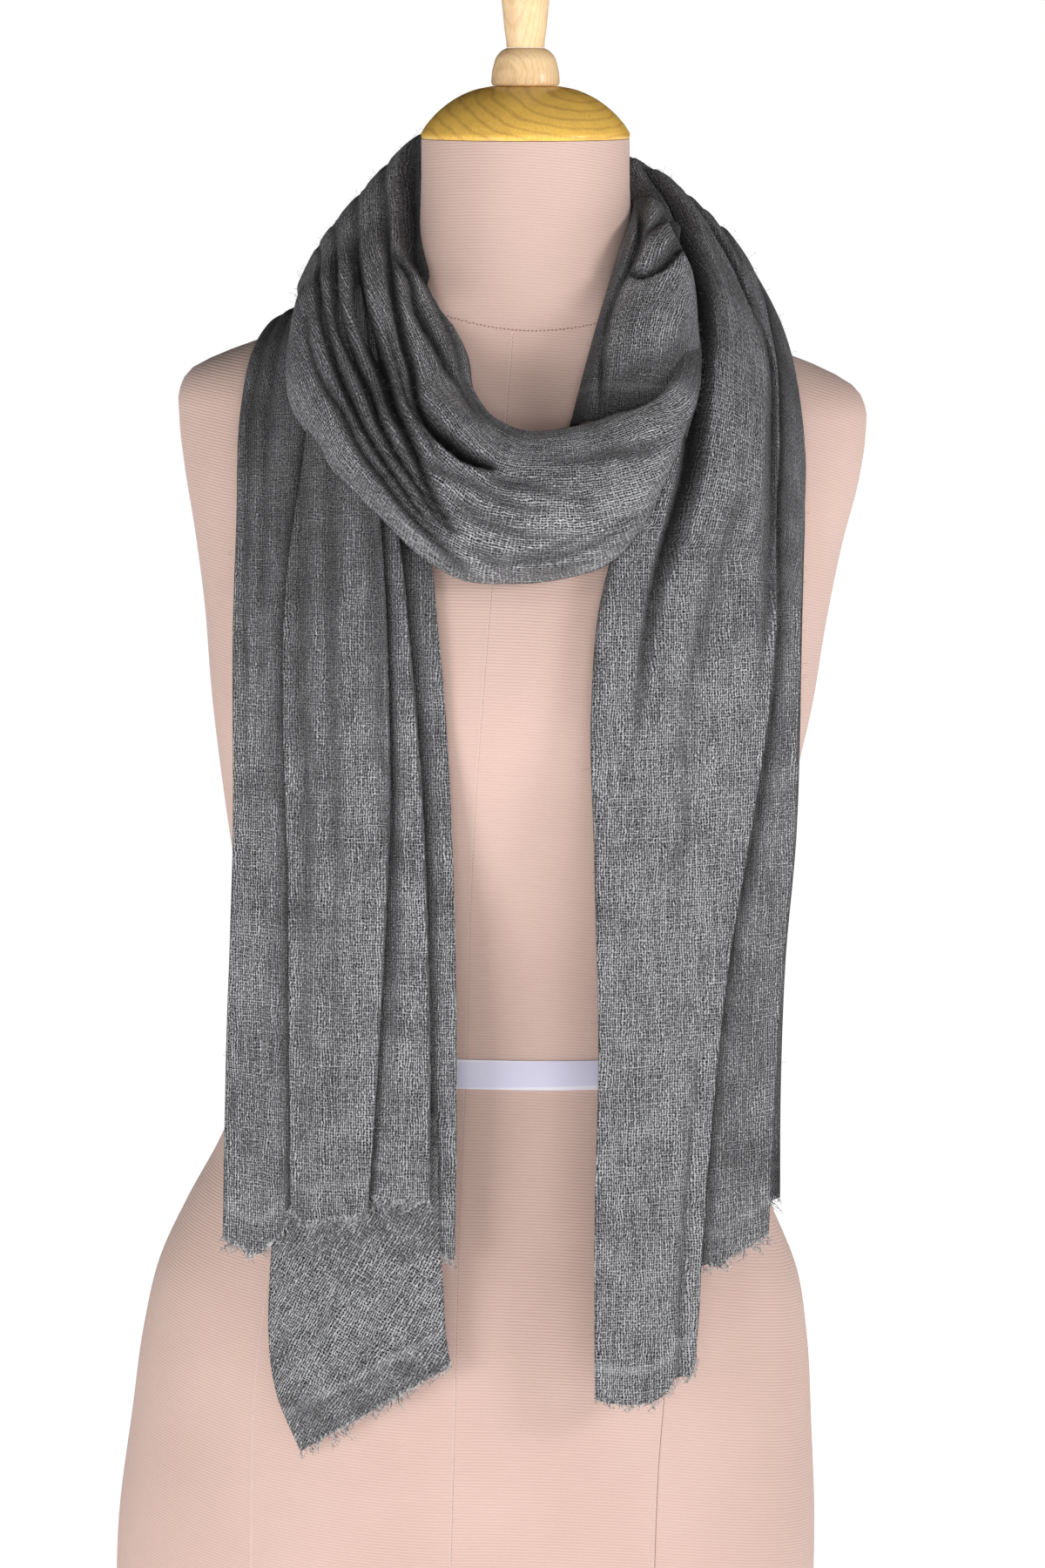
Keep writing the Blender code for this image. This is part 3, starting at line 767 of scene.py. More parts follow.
# height, half width, half depth, middle x, middle y, squareness, drop at the right, nod in degrees
FORM_TABLE = (
    (0.0, 183.0, 113.0, 0.0, 0.0, 2.1, 0.0, 0.0),
    (70.0, 182.0, 113.0, 2.0, 0.0, 2.1, 1.5, 0.0),
    (120.0, 177.5, 111.0, 4.5, 0.0, 2.1, 2.5, 0.0),
    (165.0, 173.0, 108.0, 6.5, 0.0, 2.1, 3.0, 0.0),
    (200.0, 166.0, 103.0, 8.0, 0.0, 2.1, 3.0, 0.0),
    (232.0, 152.0, 97.0, 9.0, 0.0, 2.1, 3.0, 0.0),
    (262.0, 137.0, 92.0, 10.5, 0.0, 2.1, 3.0, 0.0),
    (290.0, 127.0, 88.0, 12.0, -1.0, 2.1, 3.0, 0.0),
    (315.0, 123.5, 86.0, 13.5, -2.0, 2.1, 3.0, 0.0),
    (345.0, 126.0, 87.0, 15.5, -3.0, 2.1, 3.0, 0.0),
    (395.0, 135.0, 93.0, 19.0, -6.0, 2.1, 3.0, 0.0),
    (445.0, 145.0, 102.0, 22.5, -10.0, 2.15, 3.5, 0.0),
    (495.0, 153.5, 109.0, 25.5, -13.0, 2.2, 4.0, 0.0),
    (540.0, 159.0, 106.0, 27.5, -10.0, 2.25, 4.0, 0.0),
    (580.0, 166.0, 97.0, 29.0, -4.0, 2.3, 4.0, 0.0),
    (612.0, 173.0, 87.0, 30.5, 2.0, 2.4, 4.5, 0.0),
    (635.0, 176.0, 79.0, 31.0, 5.0, 2.4, 4.5, 0.0),
    (650.0, 175.5, 72.0, 31.0, 6.0, 2.4, 4.5, 0.0),
    (660.0, 169.0, 66.0, 31.0, 6.0, 2.3, 4.5, 0.0),
    (667.0, 156.0, 62.0, 31.0, 5.0, 2.2, 4.0, 0.0),
    (677.0, 130.0, 59.0, 31.0, 3.0, 2.1, 3.5, 0.0),
    (687.0, 101.0, 57.0, 31.5, 1.0, 2.0, 3.0, 0.5),
    (697.0, 76.0, 56.0, 32.0, -0.5, 2.0, 2.0, 1.0),
    (710.0, 60.0, 55.0, 32.5, -1.5, 2.0, 1.0, 2.0),
    (728.0, 55.0, 54.0, 32.5, -2.5, 2.0, 0.0, 3.0),
    (752.0, 53.3, 53.3, 32.5, -3.5, 2.0, 0.0, 4.0),
    (780.0, 53.0, 53.0, 32.5, -4.0, 2.0, 0.0, 4.3),
)
NECK_TOP = 780.0
NECK_AXIS = (32.5, -4.0)
NECK_NOD = math.radians(4.3)
TAPE_LOW, TAPE_HIGH = 305.0, 320.0
TAPE_NEAR, TAPE_FAR = 0.3, 1.0                # its inner and outer face, from the jersey
TAPE_EDGE, TAPE_BEVEL = 0.15, 1.0

# radius and rise above the neck's top
CAP_PROFILE = ((0.0, 26.5), (17.0, 26.5), (26.0, 24.6), (34.0, 21.2), (41.0, 16.6), (47.5, 10.6),
               (51.8, 5.0), (53.2, 2.2), (52.8, 0.3), (0.0, 0.3))
COLLAR_PROFILE = ((0.0, 45.6), (9.4, 45.6), (11.8, 44.4), (14.6, 41.4), (16.3, 36.6), (17.2, 31.2),
                  (17.0, 27.4), (16.4, 26.8), (0.0, 26.8))
STEM_PROFILE = ((0.0, 101.0), (5.6, 100.0), (10.4, 96.8), (13.6, 91.6), (14.6, 85.8), (13.8, 79.4),
                (12.3, 71.0), (11.4, 63.0), (10.6, 54.8), (9.8, 49.0), (9.6, 45.9), (0.0, 45.9))

# The front seams as the points that they pass, in x and z
SEAMS = {
    "seam_centre": ((26, 683), (24, 657), (16, 561), (7, 442), (2, 305), (-1, 235), (-3, 147), (-6, 40),
                    (-7, 3)),
    "seam_left": ((-78, 600), (-88, 440), (-92, 310), (-99, 195), (-103, 162), (-106, 60), (-107, 3)),
    "seam_right": ((132, 600), (118, 440), (108, 310), (102, 153), (99, 115), (97, 61), (96, 3)),
}
NECK_SEAM_HEIGHT = 683.0                      # at its lowest, in front
NECK_SEAM_RISE = 16.0                         # how far to the side the seam has risen by 1
NECK_SEAM_MOST = 9.0
NECK_SEAM_OFF = 0.1                           # off the jersey, before it is laid down on it
SEAM_FOOT = 3                                 # the height at which the front seams start
STITCH, STITCH_GAP, STITCH_RADIUS = 1.1, 0.9, 0.32
ZIGZAG, ZIGZAG_REACH, ZIGZAG_RADIUS = 2.0, 0.5, 0.16
SEAM_SHADOW_OFF = (0.45, 0.05, 0.0)                  # a dark strand beside the zigzag's middle: painted shadow of the seam's groove between the panels
IN_FRONT = -0.4                               # in metres, a place well before the form
MERGE_WITHIN = 0.01 * MM


class DressForm:
    """The padded torso, its tape, its seams and its turned wood."""

    SIDES = 160
    RING_STEP = 5.0
    TURNED_RINGS, TURNED_SIDES = 40, 96

    def __init__(self) -> None:
        self.jersey = JerseyFinish().build()
        self.satin = SatinFinish(TAPE_LOW, TAPE_HIGH).build()
        self.cap_wood = CAP_PINE.build()
        self.knob_wood = KNOB_PINE.build()
        self.seam_thread = ThreadFinish("seam_thread", (0.88, 0.74, 0.67, 1.0)).build()
        self.neck_thread = ThreadFinish("neck_thread", (0.36, 0.21, 0.17, 1.0)).build()

    def section(self, height: float, grow: float = 0.0) -> list[tuple[float, float, float]]:
        """Points of the form's section at one height, moved out by grow."""
        table = np.array(FORM_TABLE)
        sizes = through(table[:, 0], table[:, 1:], [height])[0]
        half_width, half_depth, mid_x, mid_y, square, drop, nod = sizes
        angle = np.linspace(0, 2 * np.pi, self.SIDES, endpoint=False)
        across = np.sign(np.cos(angle)) * np.abs(np.cos(angle)) ** (2 / square)
        deep = np.sign(np.sin(angle)) * np.abs(np.sin(angle)) ** (2 / square)
        x, y = (half_width + grow) * across, (half_depth + grow) * deep
        z = height - drop * across + y * math.tan(math.radians(nod))
        return list(zip(mid_x + x, mid_y + y, z))

    def build(self) -> None:
        """Make every piece of the form."""
        heights = np.arange(0.0, NECK_TOP + self.RING_STEP, self.RING_STEP)
        torso = loft("torso", [self.section(height) for height in heights])
        adopt(torso, self.jersey, Slot.JERSEY, "form_torso")
        lower = ((TAPE_LOW, TAPE_NEAR), (TAPE_LOW + TAPE_EDGE, TAPE_FAR - TAPE_EDGE),
                 (TAPE_LOW + TAPE_BEVEL, TAPE_FAR))
        corners = [*lower, *((TAPE_LOW + TAPE_HIGH - height, grow) for height, grow in reversed(lower))]
        tape = loft("tape", [self.section(height, grow) for height, grow in corners], closed_on_itself=True)
        adopt(tape, self.satin, Slot.SATIN, "waist_tape")
        self.turned("cap", CAP_PROFILE, self.cap_wood, Slot.PINE, "neck_cap")
        self.turned("collar", COLLAR_PROFILE, self.knob_wood, Slot.PALE_PINE, "finial_collar")
        self.turned("knob", STEM_PROFILE, self.knob_wood, Slot.PALE_PINE, "finial_stem")
        self.seams(torso)

    def turned(self, name: str, profile: Sequence, wood: bpy.types.Material, slot: Slot, node: str) -> None:
        """A turned piece on the neck's axis, smooth along its profile."""
        table = np.array(profile)
        way = lengths(table)
        inner = through(way[1:-1], table[1:-1], np.linspace(way[1], way[-2], self.TURNED_RINGS))
        path = [tuple(table[0]), *map(tuple, inner), tuple(table[-1])]
        bm = bmesh.new()
        verts = [bm.verts.new((radius * MM, 0.0, rise * MM)) for radius, rise in path]
        edges = [bm.edges.new(pair) for pair in zip(verts, verts[1:])]
        bmesh.ops.spin(bm, geom=verts + edges, cent=(0, 0, 0), axis=(0, 0, 1), angle=2 * math.pi,
                       steps=self.TURNED_SIDES, use_merge=True, use_duplicate=False)
        bmesh.ops.remove_doubles(bm, verts=bm.verts, dist=MERGE_WITHIN)
        bmesh.ops.recalc_face_normals(bm, faces=bm.faces)
        place = Matrix.Translation((NECK_AXIS[0] * MM, NECK_AXIS[1] * MM, NECK_TOP * MM))
        bmesh.ops.transform(bm, matrix=place @ Matrix.Rotation(NECK_NOD, 4, "X"), verts=bm.verts)
        adopt(mesh_object(name, bm, sharp_over=40.0), wood, slot, node)

    def seams(self, torso: bpy.types.Object) -> None:
        """Lines of stitches that lie on the jersey."""
        tree = BVHTree.FromObject(torso, bpy.context.evaluated_depsgraph_get())
        for name, passes in SEAMS.items():
            table = np.array(passes[::-1], float)
            heights = np.arange(SEAM_FOOT, table[-1, 1], ZIGZAG / 2)
            sides = through(table[:, 1], table[:, 0], heights)
            sides = sides + np.where(np.arange(len(heights)) % 2, ZIGZAG_REACH, -ZIGZAG_REACH)
            points = [self.front(tree, x, z) for z, x in zip(heights, sides)]
            line = np.array([point for point in points if point is not None])
            adopt(strands(name, [line], ZIGZAG_RADIUS), self.seam_thread, Slot.JERSEY)
            # A dark strand beside the zigzag's middle, in the neck thread's colour: painted shadow of the
            # seam's groove.
            middle = (line[:-1] + line[1:]) / 2 + np.array(SEAM_SHADOW_OFF)
            adopt(strands(name + "_join", [middle], ZIGZAG_RADIUS), self.neck_thread, Slot.JERSEY)
        neck = [np.array(point) for point in self.section(NECK_SEAM_HEIGHT, NECK_SEAM_OFF)]
        loop = []
        for point, after in zip(neck, neck[1:] + neck[:1]):
            to_side = ((point[0] - NECK_AXIS[0]) / NECK_SEAM_RISE) ** 2
            rise = min(to_side, NECK_SEAM_MOST) if point[1] < 0 else NECK_SEAM_MOST
            loop.extend(point + (after - point) * part + np.array((0, 0, rise)) for part in (0.0, 0.5))
        on_skin = [np.array(tree.find_nearest(Vector(point) * MM)[0]) / MM for point in loop]
        neckline = strands("seam_neck", self.stitches(on_skin), STITCH_RADIUS)
        adopt(neckline, self.neck_thread, Slot.JERSEY)

    @staticmethod
    def front(tree: BVHTree, x: float, z: float) -> np.ndarray | None:
        """The point of the form's front at one place."""
        hit = tree.ray_cast(Vector((x * MM, IN_FRONT, z * MM)), Vector((0, 1, 0)))[0]
        return None if hit is None else np.array(hit) / MM

    @staticmethod
    def stitches(line: Sequence[np.ndarray]) -> list[np.ndarray]:
        """Cut a line of points into stitches."""
        points = np.array(line)
        way = lengths(points)
        starts = np.arange(0.0, way[-1] - STITCH, STITCH + STITCH_GAP)
        return [through(way, points, start + np.linspace(0, STITCH, 3)) for start in starts]


# ---------------------------------------------------------------------------------------------
# The shawl
# ---------------------------------------------------------------------------------------------

# The course from the tip of the front loop, across the chest and over the left shoulder, behind
# the neck, over the right shoulder and down to the right hem. Edge a is the neckline.
LOOP = Course(
    rows=(
        (113, -58, 690, 119, -50, 686, 0), (111, -84, 674, 120, -73, 667, 1),
        (105, -102, 657, 117, -95, 648, 2), (95, -107, 649, 112, -109, 636, 4),
        (86, -109, 645, 107, -115, 627, 7), (78, -110, 643, 99, -120, 609, 10),
        (70, -111, 640, 88, -124, 588, 13), (60, -111, 637, 72, -126, 571, 16),
        (49, -110, 635, 49, -127, 564, 18), (38, -108, 634, 24, -127, 562, 18),
        (29, -105, 635, 2, -127, 564, 18), (20, -100, 639, -16, -125, 574, 17),
        (12, -92, 646, -39, -118, 596, 16), (4, -79, 661, -61, -106, 617, 15),
        (1, -67, 676, -73, -94, 634, 13), (-6, -53, 691, -82, -85, 647, 12),
        (-15, -39, 711, -88, -68, 664, 11), (-20, -25, 725, -88, -46, 686, 9),
        (-22, -8, 743, -86, -10, 698, 9), (-25, 17, 774, -87, 20, 696, 9),
        (-19, 40, 789, -77, 61, 674, 12), (4, 60, 792, -36, 84, 664, 16),
        (34, 67, 789, 31, 90, 667, 17), (63, 61, 785, 88, 86, 662, 16),
        (83, 48, 777, 138, 68, 668, 11), (91, 38, 772, 163, 37, 679, 9),
        (90, 29, 772, 161, 1, 693, 8), (101, 7, 755, 168, -27, 681, 8),
        (113, -18, 730, 172, -52, 656, 8), (123, -40, 704, 174, -65, 630, 9),
        (121, -62, 673, 174, -72, 600, 9), (106, -85, 634, 174, -75, 572, 10),
        (86, -107, 591, 174, -77, 545, 12), (72, -124, 549, 174, -79, 517, 13),
        (66, -133, 504, 174, -80, 484, 13), (67, -133, 436, 173, -80, 430, 13),
        (69, -133, 350, 168, -80, 360, 12), (67, -133, 270, 166, -80, 290, 12),
        (67, -133, 195, 166, -80, 235, 12),
    ),
    grooves=(
        # The left wrap's rolls, from edge b
        Groove(((9.6, 0.97, 0), (10.3, 0.93, 5), (10.8, 0.89, 7), (11.6, 0.86, 8), (12.2, 0.84, 8),
                (12.8, 0.82, 8), (13.7, 0.80, 7), (15.0, 0.81, 4), (16.2, 0.81, 2),
                (17.0, 0.80, 0)), 4, 6, 1.3),
        Groove(((10.6, 0.90, 0), (11.2, 0.84, 6), (11.8, 0.80, 8), (12.5, 0.76, 9), (13.2, 0.74, 9),
                (14.1, 0.73, 9), (15.3, 0.71, 9), (16.2, 0.70, 7), (17.4, 0.71, 4), (18.2, 0.69, 2),
                (19.4, 0.66, 1.2), (20.4, 0.64, 0)), 4, 5, 1.3, 1.3),
        Groove(((10.6, 0.86, 0), (11.2, 0.77, 6), (11.7, 0.72, 8), (12.4, 0.68, 9), (13.4, 0.63, 10),
                (14.8, 0.61, 10), (15.6, 0.61, 9), (16.6, 0.60, 7), (17.5, 0.57, 4), (18.3, 0.55, 2),
                (19.6, 0.52, 1.2), (20.4, 0.50, 0)), 4, 6, 1.3, 1.3),
        Groove(((10.3, 0.84, 0), (10.9, 0.76, 6), (11.4, 0.69, 8), (11.9, 0.62, 9), (12.4, 0.56, 10),
                (13.3, 0.52, 12), (14.0, 0.50, 13), (15.2, 0.47, 14), (16.0, 0.45, 13), (16.7, 0.44, 9),
                (17.5, 0.42, 5), (18.3, 0.39, 2.4), (19.4, 0.34, 1.4), (20.4, 0.32, 0)), 5, 8, 1.1, 1.4),
        Groove(((9.8, 0.34, 0), (10.4, 0.35, 9), (11.1, 0.38, 13), (11.7, 0.40, 14), (12.1, 0.42, 13),
                (12.6, 0.41, 12), (13.3, 0.37, 10), (14.6, 0.33, 9), (15.8, 0.27, 8), (16.6, 0.24, 7),
                (17.6, 0.22, 5), (18.4, 0.20, 3), (19.4, 0.18, 2), (20.4, 0.17, 0)), 6, 5, 1.1, 1.3),
        Groove(((11.2, 0.12, 0), (12.0, 0.11, 3), (12.8, 0.10, 4), (13.6, 0.15, 6), (14.7, 0.17, 7),
                (15.5, 0.17, 7), (15.9, 0.14, 6), (17.1, 0.20, 4), (17.8, 0.24, 0)), 5, 5, 1.4),
        Groove(((11.2, 0.55, 0), (12.2, 0.48, 4), (13.2, 0.44, 5), (14.4, 0.41, 4),
                (15.4, 0.38, 0)), 4, 4, 1.4),
        Groove(((9.5, 0.05, 0), (11.0, 0.06, 2), (13.0, 0.05, 3), (15.0, 0.05, 3), (17.0, 0.07, 4),
                (18.6, 0.06, 0)), 4, 5),
        Groove(((14.6, 0.0, 0), (15.6, 0.03, 5), (16.4, 0.06, 8), (17.2, 0.08, 9), (18.2, 0.07, 9),
                (19.0, 0.05, 7), (20.2, 0.03, 0)), 7, 5, 1.0, 1.2),
        # Behind the neck
        Groove(((19.0, 0.84, 0), (20.2, 0.86, 4), (21.4, 0.80, 8), (22.6, 0.77, 8), (24.0, 0.82, 5),
                (25.6, 0.86, 2), (26.6, 0.86, 0)), 9, 12),
        Groove(((19.6, 0.70, 0), (21.0, 0.66, 3), (22.2, 0.60, 7), (23.4, 0.58, 8), (24.8, 0.64, 5),
                (26.5, 0.66, 2), (28.0, 0.64, 0)), 8, 10, 1.7),
        Groove(((18.8, 0.50, 0), (20.4, 0.54, 5), (21.6, 0.50, 6), (22.6, 0.43, 5), (23.6, 0.39, 2),
                (24.4, 0.37, 0)), 7, 9, 1.7),
        Groove(((22.6, 0.50, 0), (23.6, 0.49, 5), (24.8, 0.50, 7), (26.0, 0.49, 4),
                (27.6, 0.50, 0)), 8, 7, 1.7),
        Groove(((18.8, 0.33, 0), (20.6, 0.30, 5), (21.8, 0.33, 7), (23.0, 0.28, 8), (24.4, 0.32, 5),
                (25.8, 0.36, 3), (26.6, 0.40, 0)), 7, 9, 1.7),
        Groove(((19.0, 0.17, 0), (20.6, 0.20, 4), (21.6, 0.16, 6), (22.8, 0.12, 5), (24.2, 0.17, 5),
                (25.2, 0.18, 2), (26.0, 0.17, 0)), 6, 7, 1.7),
        # A wide, shallow groove that mostly paints shade on the cowl's left.
        Groove(((10.4, 0.70, 0), (11.3, 0.77, 1.2), (12.6, 0.80, 1.2), (13.8, 0.78, 0)), 14, 14, 0.8),
        # Across the chest
        Groove(((10.6, 0.37, 0), (9.8, 0.41, 3), (9.0, 0.41, 2.6), (8.2, 0.46, 2), (7.3, 0.56, 1.5),
                (6.5, 0.69, 0)), 6, 6),
        Groove(((12.2, 0.60, 0), (11.5, 0.56, 3), (10.5, 0.50, 3), (9.5, 0.53, 2.6), (8.6, 0.58, 2),
                (7.8, 0.58, 0)), 6, 6),
        Groove(((11.3, 0.66, 0), (10.5, 0.64, 2.5), (9.7, 0.68, 2.5), (8.9, 0.72, 2.2), (8.2, 0.76, 2),
                (7.5, 0.76, 0)), 6, 6),
        Groove(((10.4, 0.84, 0), (9.9, 0.85, 3), (9.4, 0.89, 3.4), (8.7, 0.88, 3.4), (8.2, 0.84, 3),
                (7.7, 0.80, 2.5), (7.1, 0.75, 0)), 5, 5, 1.4),
        Groove(((8.9, 0.92, 0), (8.5, 0.89, 2.5), (7.8, 0.87, 3.2), (7.2, 0.86, 3.2), (6.6, 0.87, 2),
                (5.8, 0.86, 0)), 5, 5, 1.4),
        Groove(((8.4, 0.20, 0), (7.7, 0.25, 2), (6.1, 0.35, 3), (4.9, 0.60, 3), (3.9, 0.78, 0)), 8, 8),
        Groove(((9.6, 0.955, 0), (8.6, 0.96, 2.5), (7.6, 0.95, 2.5), (6.4, 0.94, 0)), 4, 4, 1.3),
        Groove(((25.4, 0.28, 0), (26.2, 0.29, 4), (26.8, 0.32, 7), (27.3, 0.37, 8), (27.6, 0.42, 7),
                (28.1, 0.47, 4), (28.8, 0.51, 0)), 5, 6, 1.2, 1.5),
        Groove(((25.0, 0.08, 0), (25.8, 0.06, 6), (26.6, 0.05, 9), (27.6, 0.05, 10), (28.3, 0.01, 11),
                (29.0, -0.02, 12), (29.9, 0.0, 12), (30.9, 0.11, 12), (31.4, 0.16, 11), (32.3, 0.18, 8),
                (33.4, 0.18, 4), (34.4, 0.16, 0)), 7, 8, 1.1, 1.5),
        Groove(((28.0, 0.52, 0), (28.9, 0.59, 4), (30.0, 0.62, 6), (31.3, 0.70, 6), (32.4, 0.74, 4),
                (33.6, 0.72, 0)), 12, 6),
        Groove(((35.4, 0.47, 0), (36.4, 0.42, 2.6), (37.2, 0.39, 3.2), (38.0, 0.375, 3.2)), 5, 4, 1.4),
        Groove(((30.5, 0.40, 0), (32.0, 0.44, 2), (34.0, 0.38, 2), (36.0, 0.30, 0)), 10, 10, 1.6),
    ),
    bulges=(
        Bulge(11.4, 0.22, 5.0, 1.0, 11.0),
        Bulge(27.6, 0.17, 3.0, 1.4, 5.0),
        Bulge(12.4, 0.31, 4.0, 0.6, 9.0),
        Bulge(22.5, 0.70, 5.0, 3.0, 26.0),
    ),
    roll_a=3.0,
    roll_b=9.0,
)
RIGHT_SHOULDER = 26                           # the station at that shoulder's crest
# How much darker the cloth is, by station: painted shade where it is bunched, partly for its closer weave,
# and where the pouch and the cowl shade it
LOOP_SHADE = ((0, 0.8), (1.2, 0.6), (2.4, 0.18), (4, 0.05), (7, 0.0), (10, 0.04), (11.5, 0.08),
             (13.5, 0.14), (16, 0.20), (24, 0.30), (27, 0.24), (30, 0.14), (33, 0.05), (36, 0.0))
# Painted shade on the inner pass: behind the neck and under the cowl's rim
INNER_SHADE = ((0, 0.5), (5, 0.5), (6.5, 0.2), (8, 0.05), (8.8, 0.10), (9.3, 0.30), (10, 0.6))
# Painted shade on the left end beneath the cowl
LEFT_SHADE = ((0, 0.5), (2, 0.44), (3.5, 0.32), (4.5, 0.20), (6, 0.05), (7.5, 0.0))
# How much darker the low corner is from its top to its hem: painted shadow under the layers' hems at the
# top, darker again near its hem
CORNER_DARK = ((0, 0.5), (0.30, 0.20), (0.42, 0.0), (0.62, -0.04), (0.80, 0.12), (1, 0.20))
# Fuller and thinner places in the low corner: x, z, reach, how much darker
CORNER_PATCHES = ((-70.0, 167.0, 8.0, -0.45), (-74.0, 150.0, 12.0, 0.16), (-28.0, 172.0, 14.0, 0.12),
                  (-88.0, 172.0, 6.0, 0.20), (-45.0, 150.0, 10.0, 0.12))
CREASE_SHADE = 0.94                            # painted shade at the bottom of a groove of CREASE_DEPTH
CREASE_FALL = 0.6
CREASE_DEPTH = 12.0
EDGE_SHADOW = 0.62                              # painted shadow beside the edge of a layer that lies in front
EDGE_REACH = 2.2
SHADOW_DARK = 0.20                            # its soft shadow
SHADOW_REACH = 10.0
# How far the loop's upper edge turns under, by station: in x, y and z
LOOP_TUCK = (
    (0, 0.0, 5.0, -3.0), (10, 0.0, 6.0, -4.0), (16, 4.0, 2.0, -6.0), (20, 3.0, -3.0, -9.0),
    (22, 0.0, -5.0, -12.0), (24, -10.0, -6.0, -14.0), (26, -22.0, -4.0, -20.0), (27, -24.0, 2.0, -22.0),
    (28, -26.0, 5.0, -18.0), (29, -24.0, 8.0, -10.0), (30, -20.0, 8.0, -6.0), (31, -12.0, 8.0, -4.0),
    (32, -5.0, 6.0, 0.0), (34, -1.0, 3.0, 0.0), (38, 0.0, 2.0, 0.0),
)
TUCK_COLUMNS = 6
TUCK_SHADE, TUCK_SHADE_MOST = 0.35, 0.9           # how much painted shade the cloth gets where it turns under, and its most
LOOP_HANGS, LEFT_HANGS = 32, 3                # the stations from which the ends hang in flat layers
RIGHT_FOLDS = (
    Fold(0, (0.0, 0.0, 0.0, 0.0, 0.0)),
    Fold(1, (0.76, 0.66, 0.80, 0.57, 0.47)),
    Fold(2, (0.66, 0.58, 0.70, 0.38, 0.20), 0.20),
    Fold(3, (0.98, 0.98, 0.98, 0.96, 0.91)),
    Fold(4, (0.25, 0.25, 0.25, 0.22, 0.20)),
    Fold(4, (1.0, 1.0, 1.0, 1.0, 1.0)),
)
# The hem's height at places among the folds
RIGHT_HEM = ((0.0, 158.0), (0.10, 156.0), (0.28, 154.5), (0.53, 155.0), (0.66, 160.0), (0.72, 166.0),
             (0.90, 167.0), (1.0, 175.0), (2.0, 212.0), (2.46, 221.0), (2.56, 218.5), (2.66, 224.5),
             (2.80, 226.5), (2.90, 230.5), (3.0, 231.0), (4.0, 240.0), (5.0, 247.0))

# The first pass: from the left shoulder, behind the neck inside the loop, then down at the right
# of the neck in two rolls and a pouch.
INNER_PASS = Course(
    rows=(
        (-44, 18, 707, -89, 18, 690, 2), (-36, 42, 716, -80, 50, 684, 4),
        (-14, 58, 732, -48, 73, 682, 5), (31, 62, 742, 31, 79, 685, 5),
        (70, 53, 746, 92, 70, 690, 5), (91, 24, 750, 115, 32, 712, 5),
        (91, -6, 751, 113, -8, 731, 4), (82, -36, 730, 116, -40, 722, 6),
        (71, -58, 698, 118, -64, 692, 10), (62, -76, 668, 118, -86, 660, 10),
        (54, -90, 638, 111, -97, 634, 5),
    ),
    grooves=(
        Groove(((5.7, 0.06, 0), (6.3, 0.10, 5), (6.8, 0.18, 7), (7.2, 0.24, 8), (7.55, 0.20, 7),
                (7.9, 0.14, 6), (8.3, 0.12, 5), (8.7, 0.13, 5), (9.3, 0.19, 5),
                (9.9, 0.25, 3)), 4, 5, 1.3, 1.3),
        Groove(((7.3, 0.23, 0), (7.65, 0.26, 6), (7.72, 0.39, 8), (7.6, 0.55, 9), (7.35, 0.69, 9),
                (6.9, 0.84, 7), (6.6, 0.95, 3)), 4, 6, 1.2, 1.3),
        Groove(((5.4, 0.40, 0), (6.1, 0.62, 5), (6.7, 0.86, 7), (7.0, 1.0, 7)), 8, 8, 1.0, 1.4),
        # Wide, shallow grooves that mostly paint shade: on the innermost roll and on the pouch's lower
        # right.
        Groove(((5.3, 0.03, 0), (7.3, 0.09, 1), (8.6, 0.06, 1.5), (9.6, 0.05, 2.5),
                (10.0, 0.05, 3)), 8, 7, 0.8, 2.0),
        Groove(((8.0, 0.96, 0), (8.6, 0.90, 1), (9.1, 0.78, 1.5), (9.5, 0.60, 2),
                (9.8, 0.40, 2)), 16, 12, 0.9, 2.0),
        Groove(((5.4, 0.50, 0), (6.0, 0.50, 3), (6.6, 0.42, 5), (7.0, 0.34, 3),
                (7.3, 0.30, 0)), 5, 6, 1.4),
        Groove(((0.0, 0.34, 2), (3.0, 0.34, 3), (5.0, 0.34, 3), (6.0, 0.30, 0)), 8, 8),
        Groove(((0.0, 0.62, 2), (3.0, 0.62, 3), (4.6, 0.62, 3), (5.6, 0.62, 0)), 8, 8),
    ),
    bulges=(
        Bulge(8.5, 0.62, 6.0, 0.8, 18.0),
        Bulge(7.2, 0.50, 3.0, 0.4, 10.0),
        Bulge(6.9, 0.10, 2.0, 0.6, 6.0),
    ),
    roll_a=5.0,
    roll_b=9.0,
    roll_part=0.16,
)

# The left end, from the crest of the shoulder down to its hem.
LEFT_END = Course(
    rows=(
        (-96, 14, 694, -42, 14, 713, 2), (-100, -8, 692, -38, -16, 715, 4),
        (-107, -38, 678, -32, -54, 702, 5), (-112, -64, 641, -26, -81, 656, 7),
        (-114, -76, 592, -20, -108, 601, 11), (-116, -91, 535, -14, -133, 535, 11),
        (-117, -94, 430, -8, -136, 430, 11), (-121, -94, 320, -6, -136, 320, 11),
        (-123, -94, 235, -7, -136, 235, 11),
    ),
    grooves=(
        Groove(((0.5, 0.10, 0), (1.5, 0.10, 2), (3.0, 0.08, 2.5), (4.5, 0.08, 2),
                (6.0, 0.09, 0)), 5, 6, 1.8),
        Groove(((0.5, 0.22, 0), (1.5, 0.22, 2.5), (3.0, 0.19, 2.5), (4.4, 0.18, 1.5),
                (5.6, 0.18, 0)), 6, 6, 1.8),
        Groove(((2.5, 0.40, 0), (3.6, 0.42, 2), (5.0, 0.42, 2.5), (6.5, 0.42, 1.5),
                (8.0, 0.43, 0.5)), 9, 9, 1.5),
        Groove(((3.2, 0.58, 0), (4.0, 0.58, 2), (5.0, 0.56, 2), (6.5, 0.55, 1),
                (8.0, 0.54, 0)), 8, 8, 1.5),
        Groove(((3.5, 0.76, 0), (4.4, 0.78, 2), (5.5, 0.78, 2), (7.0, 0.77, 1),
                (8.0, 0.76, 0)), 8, 7, 1.5),
    ),
)
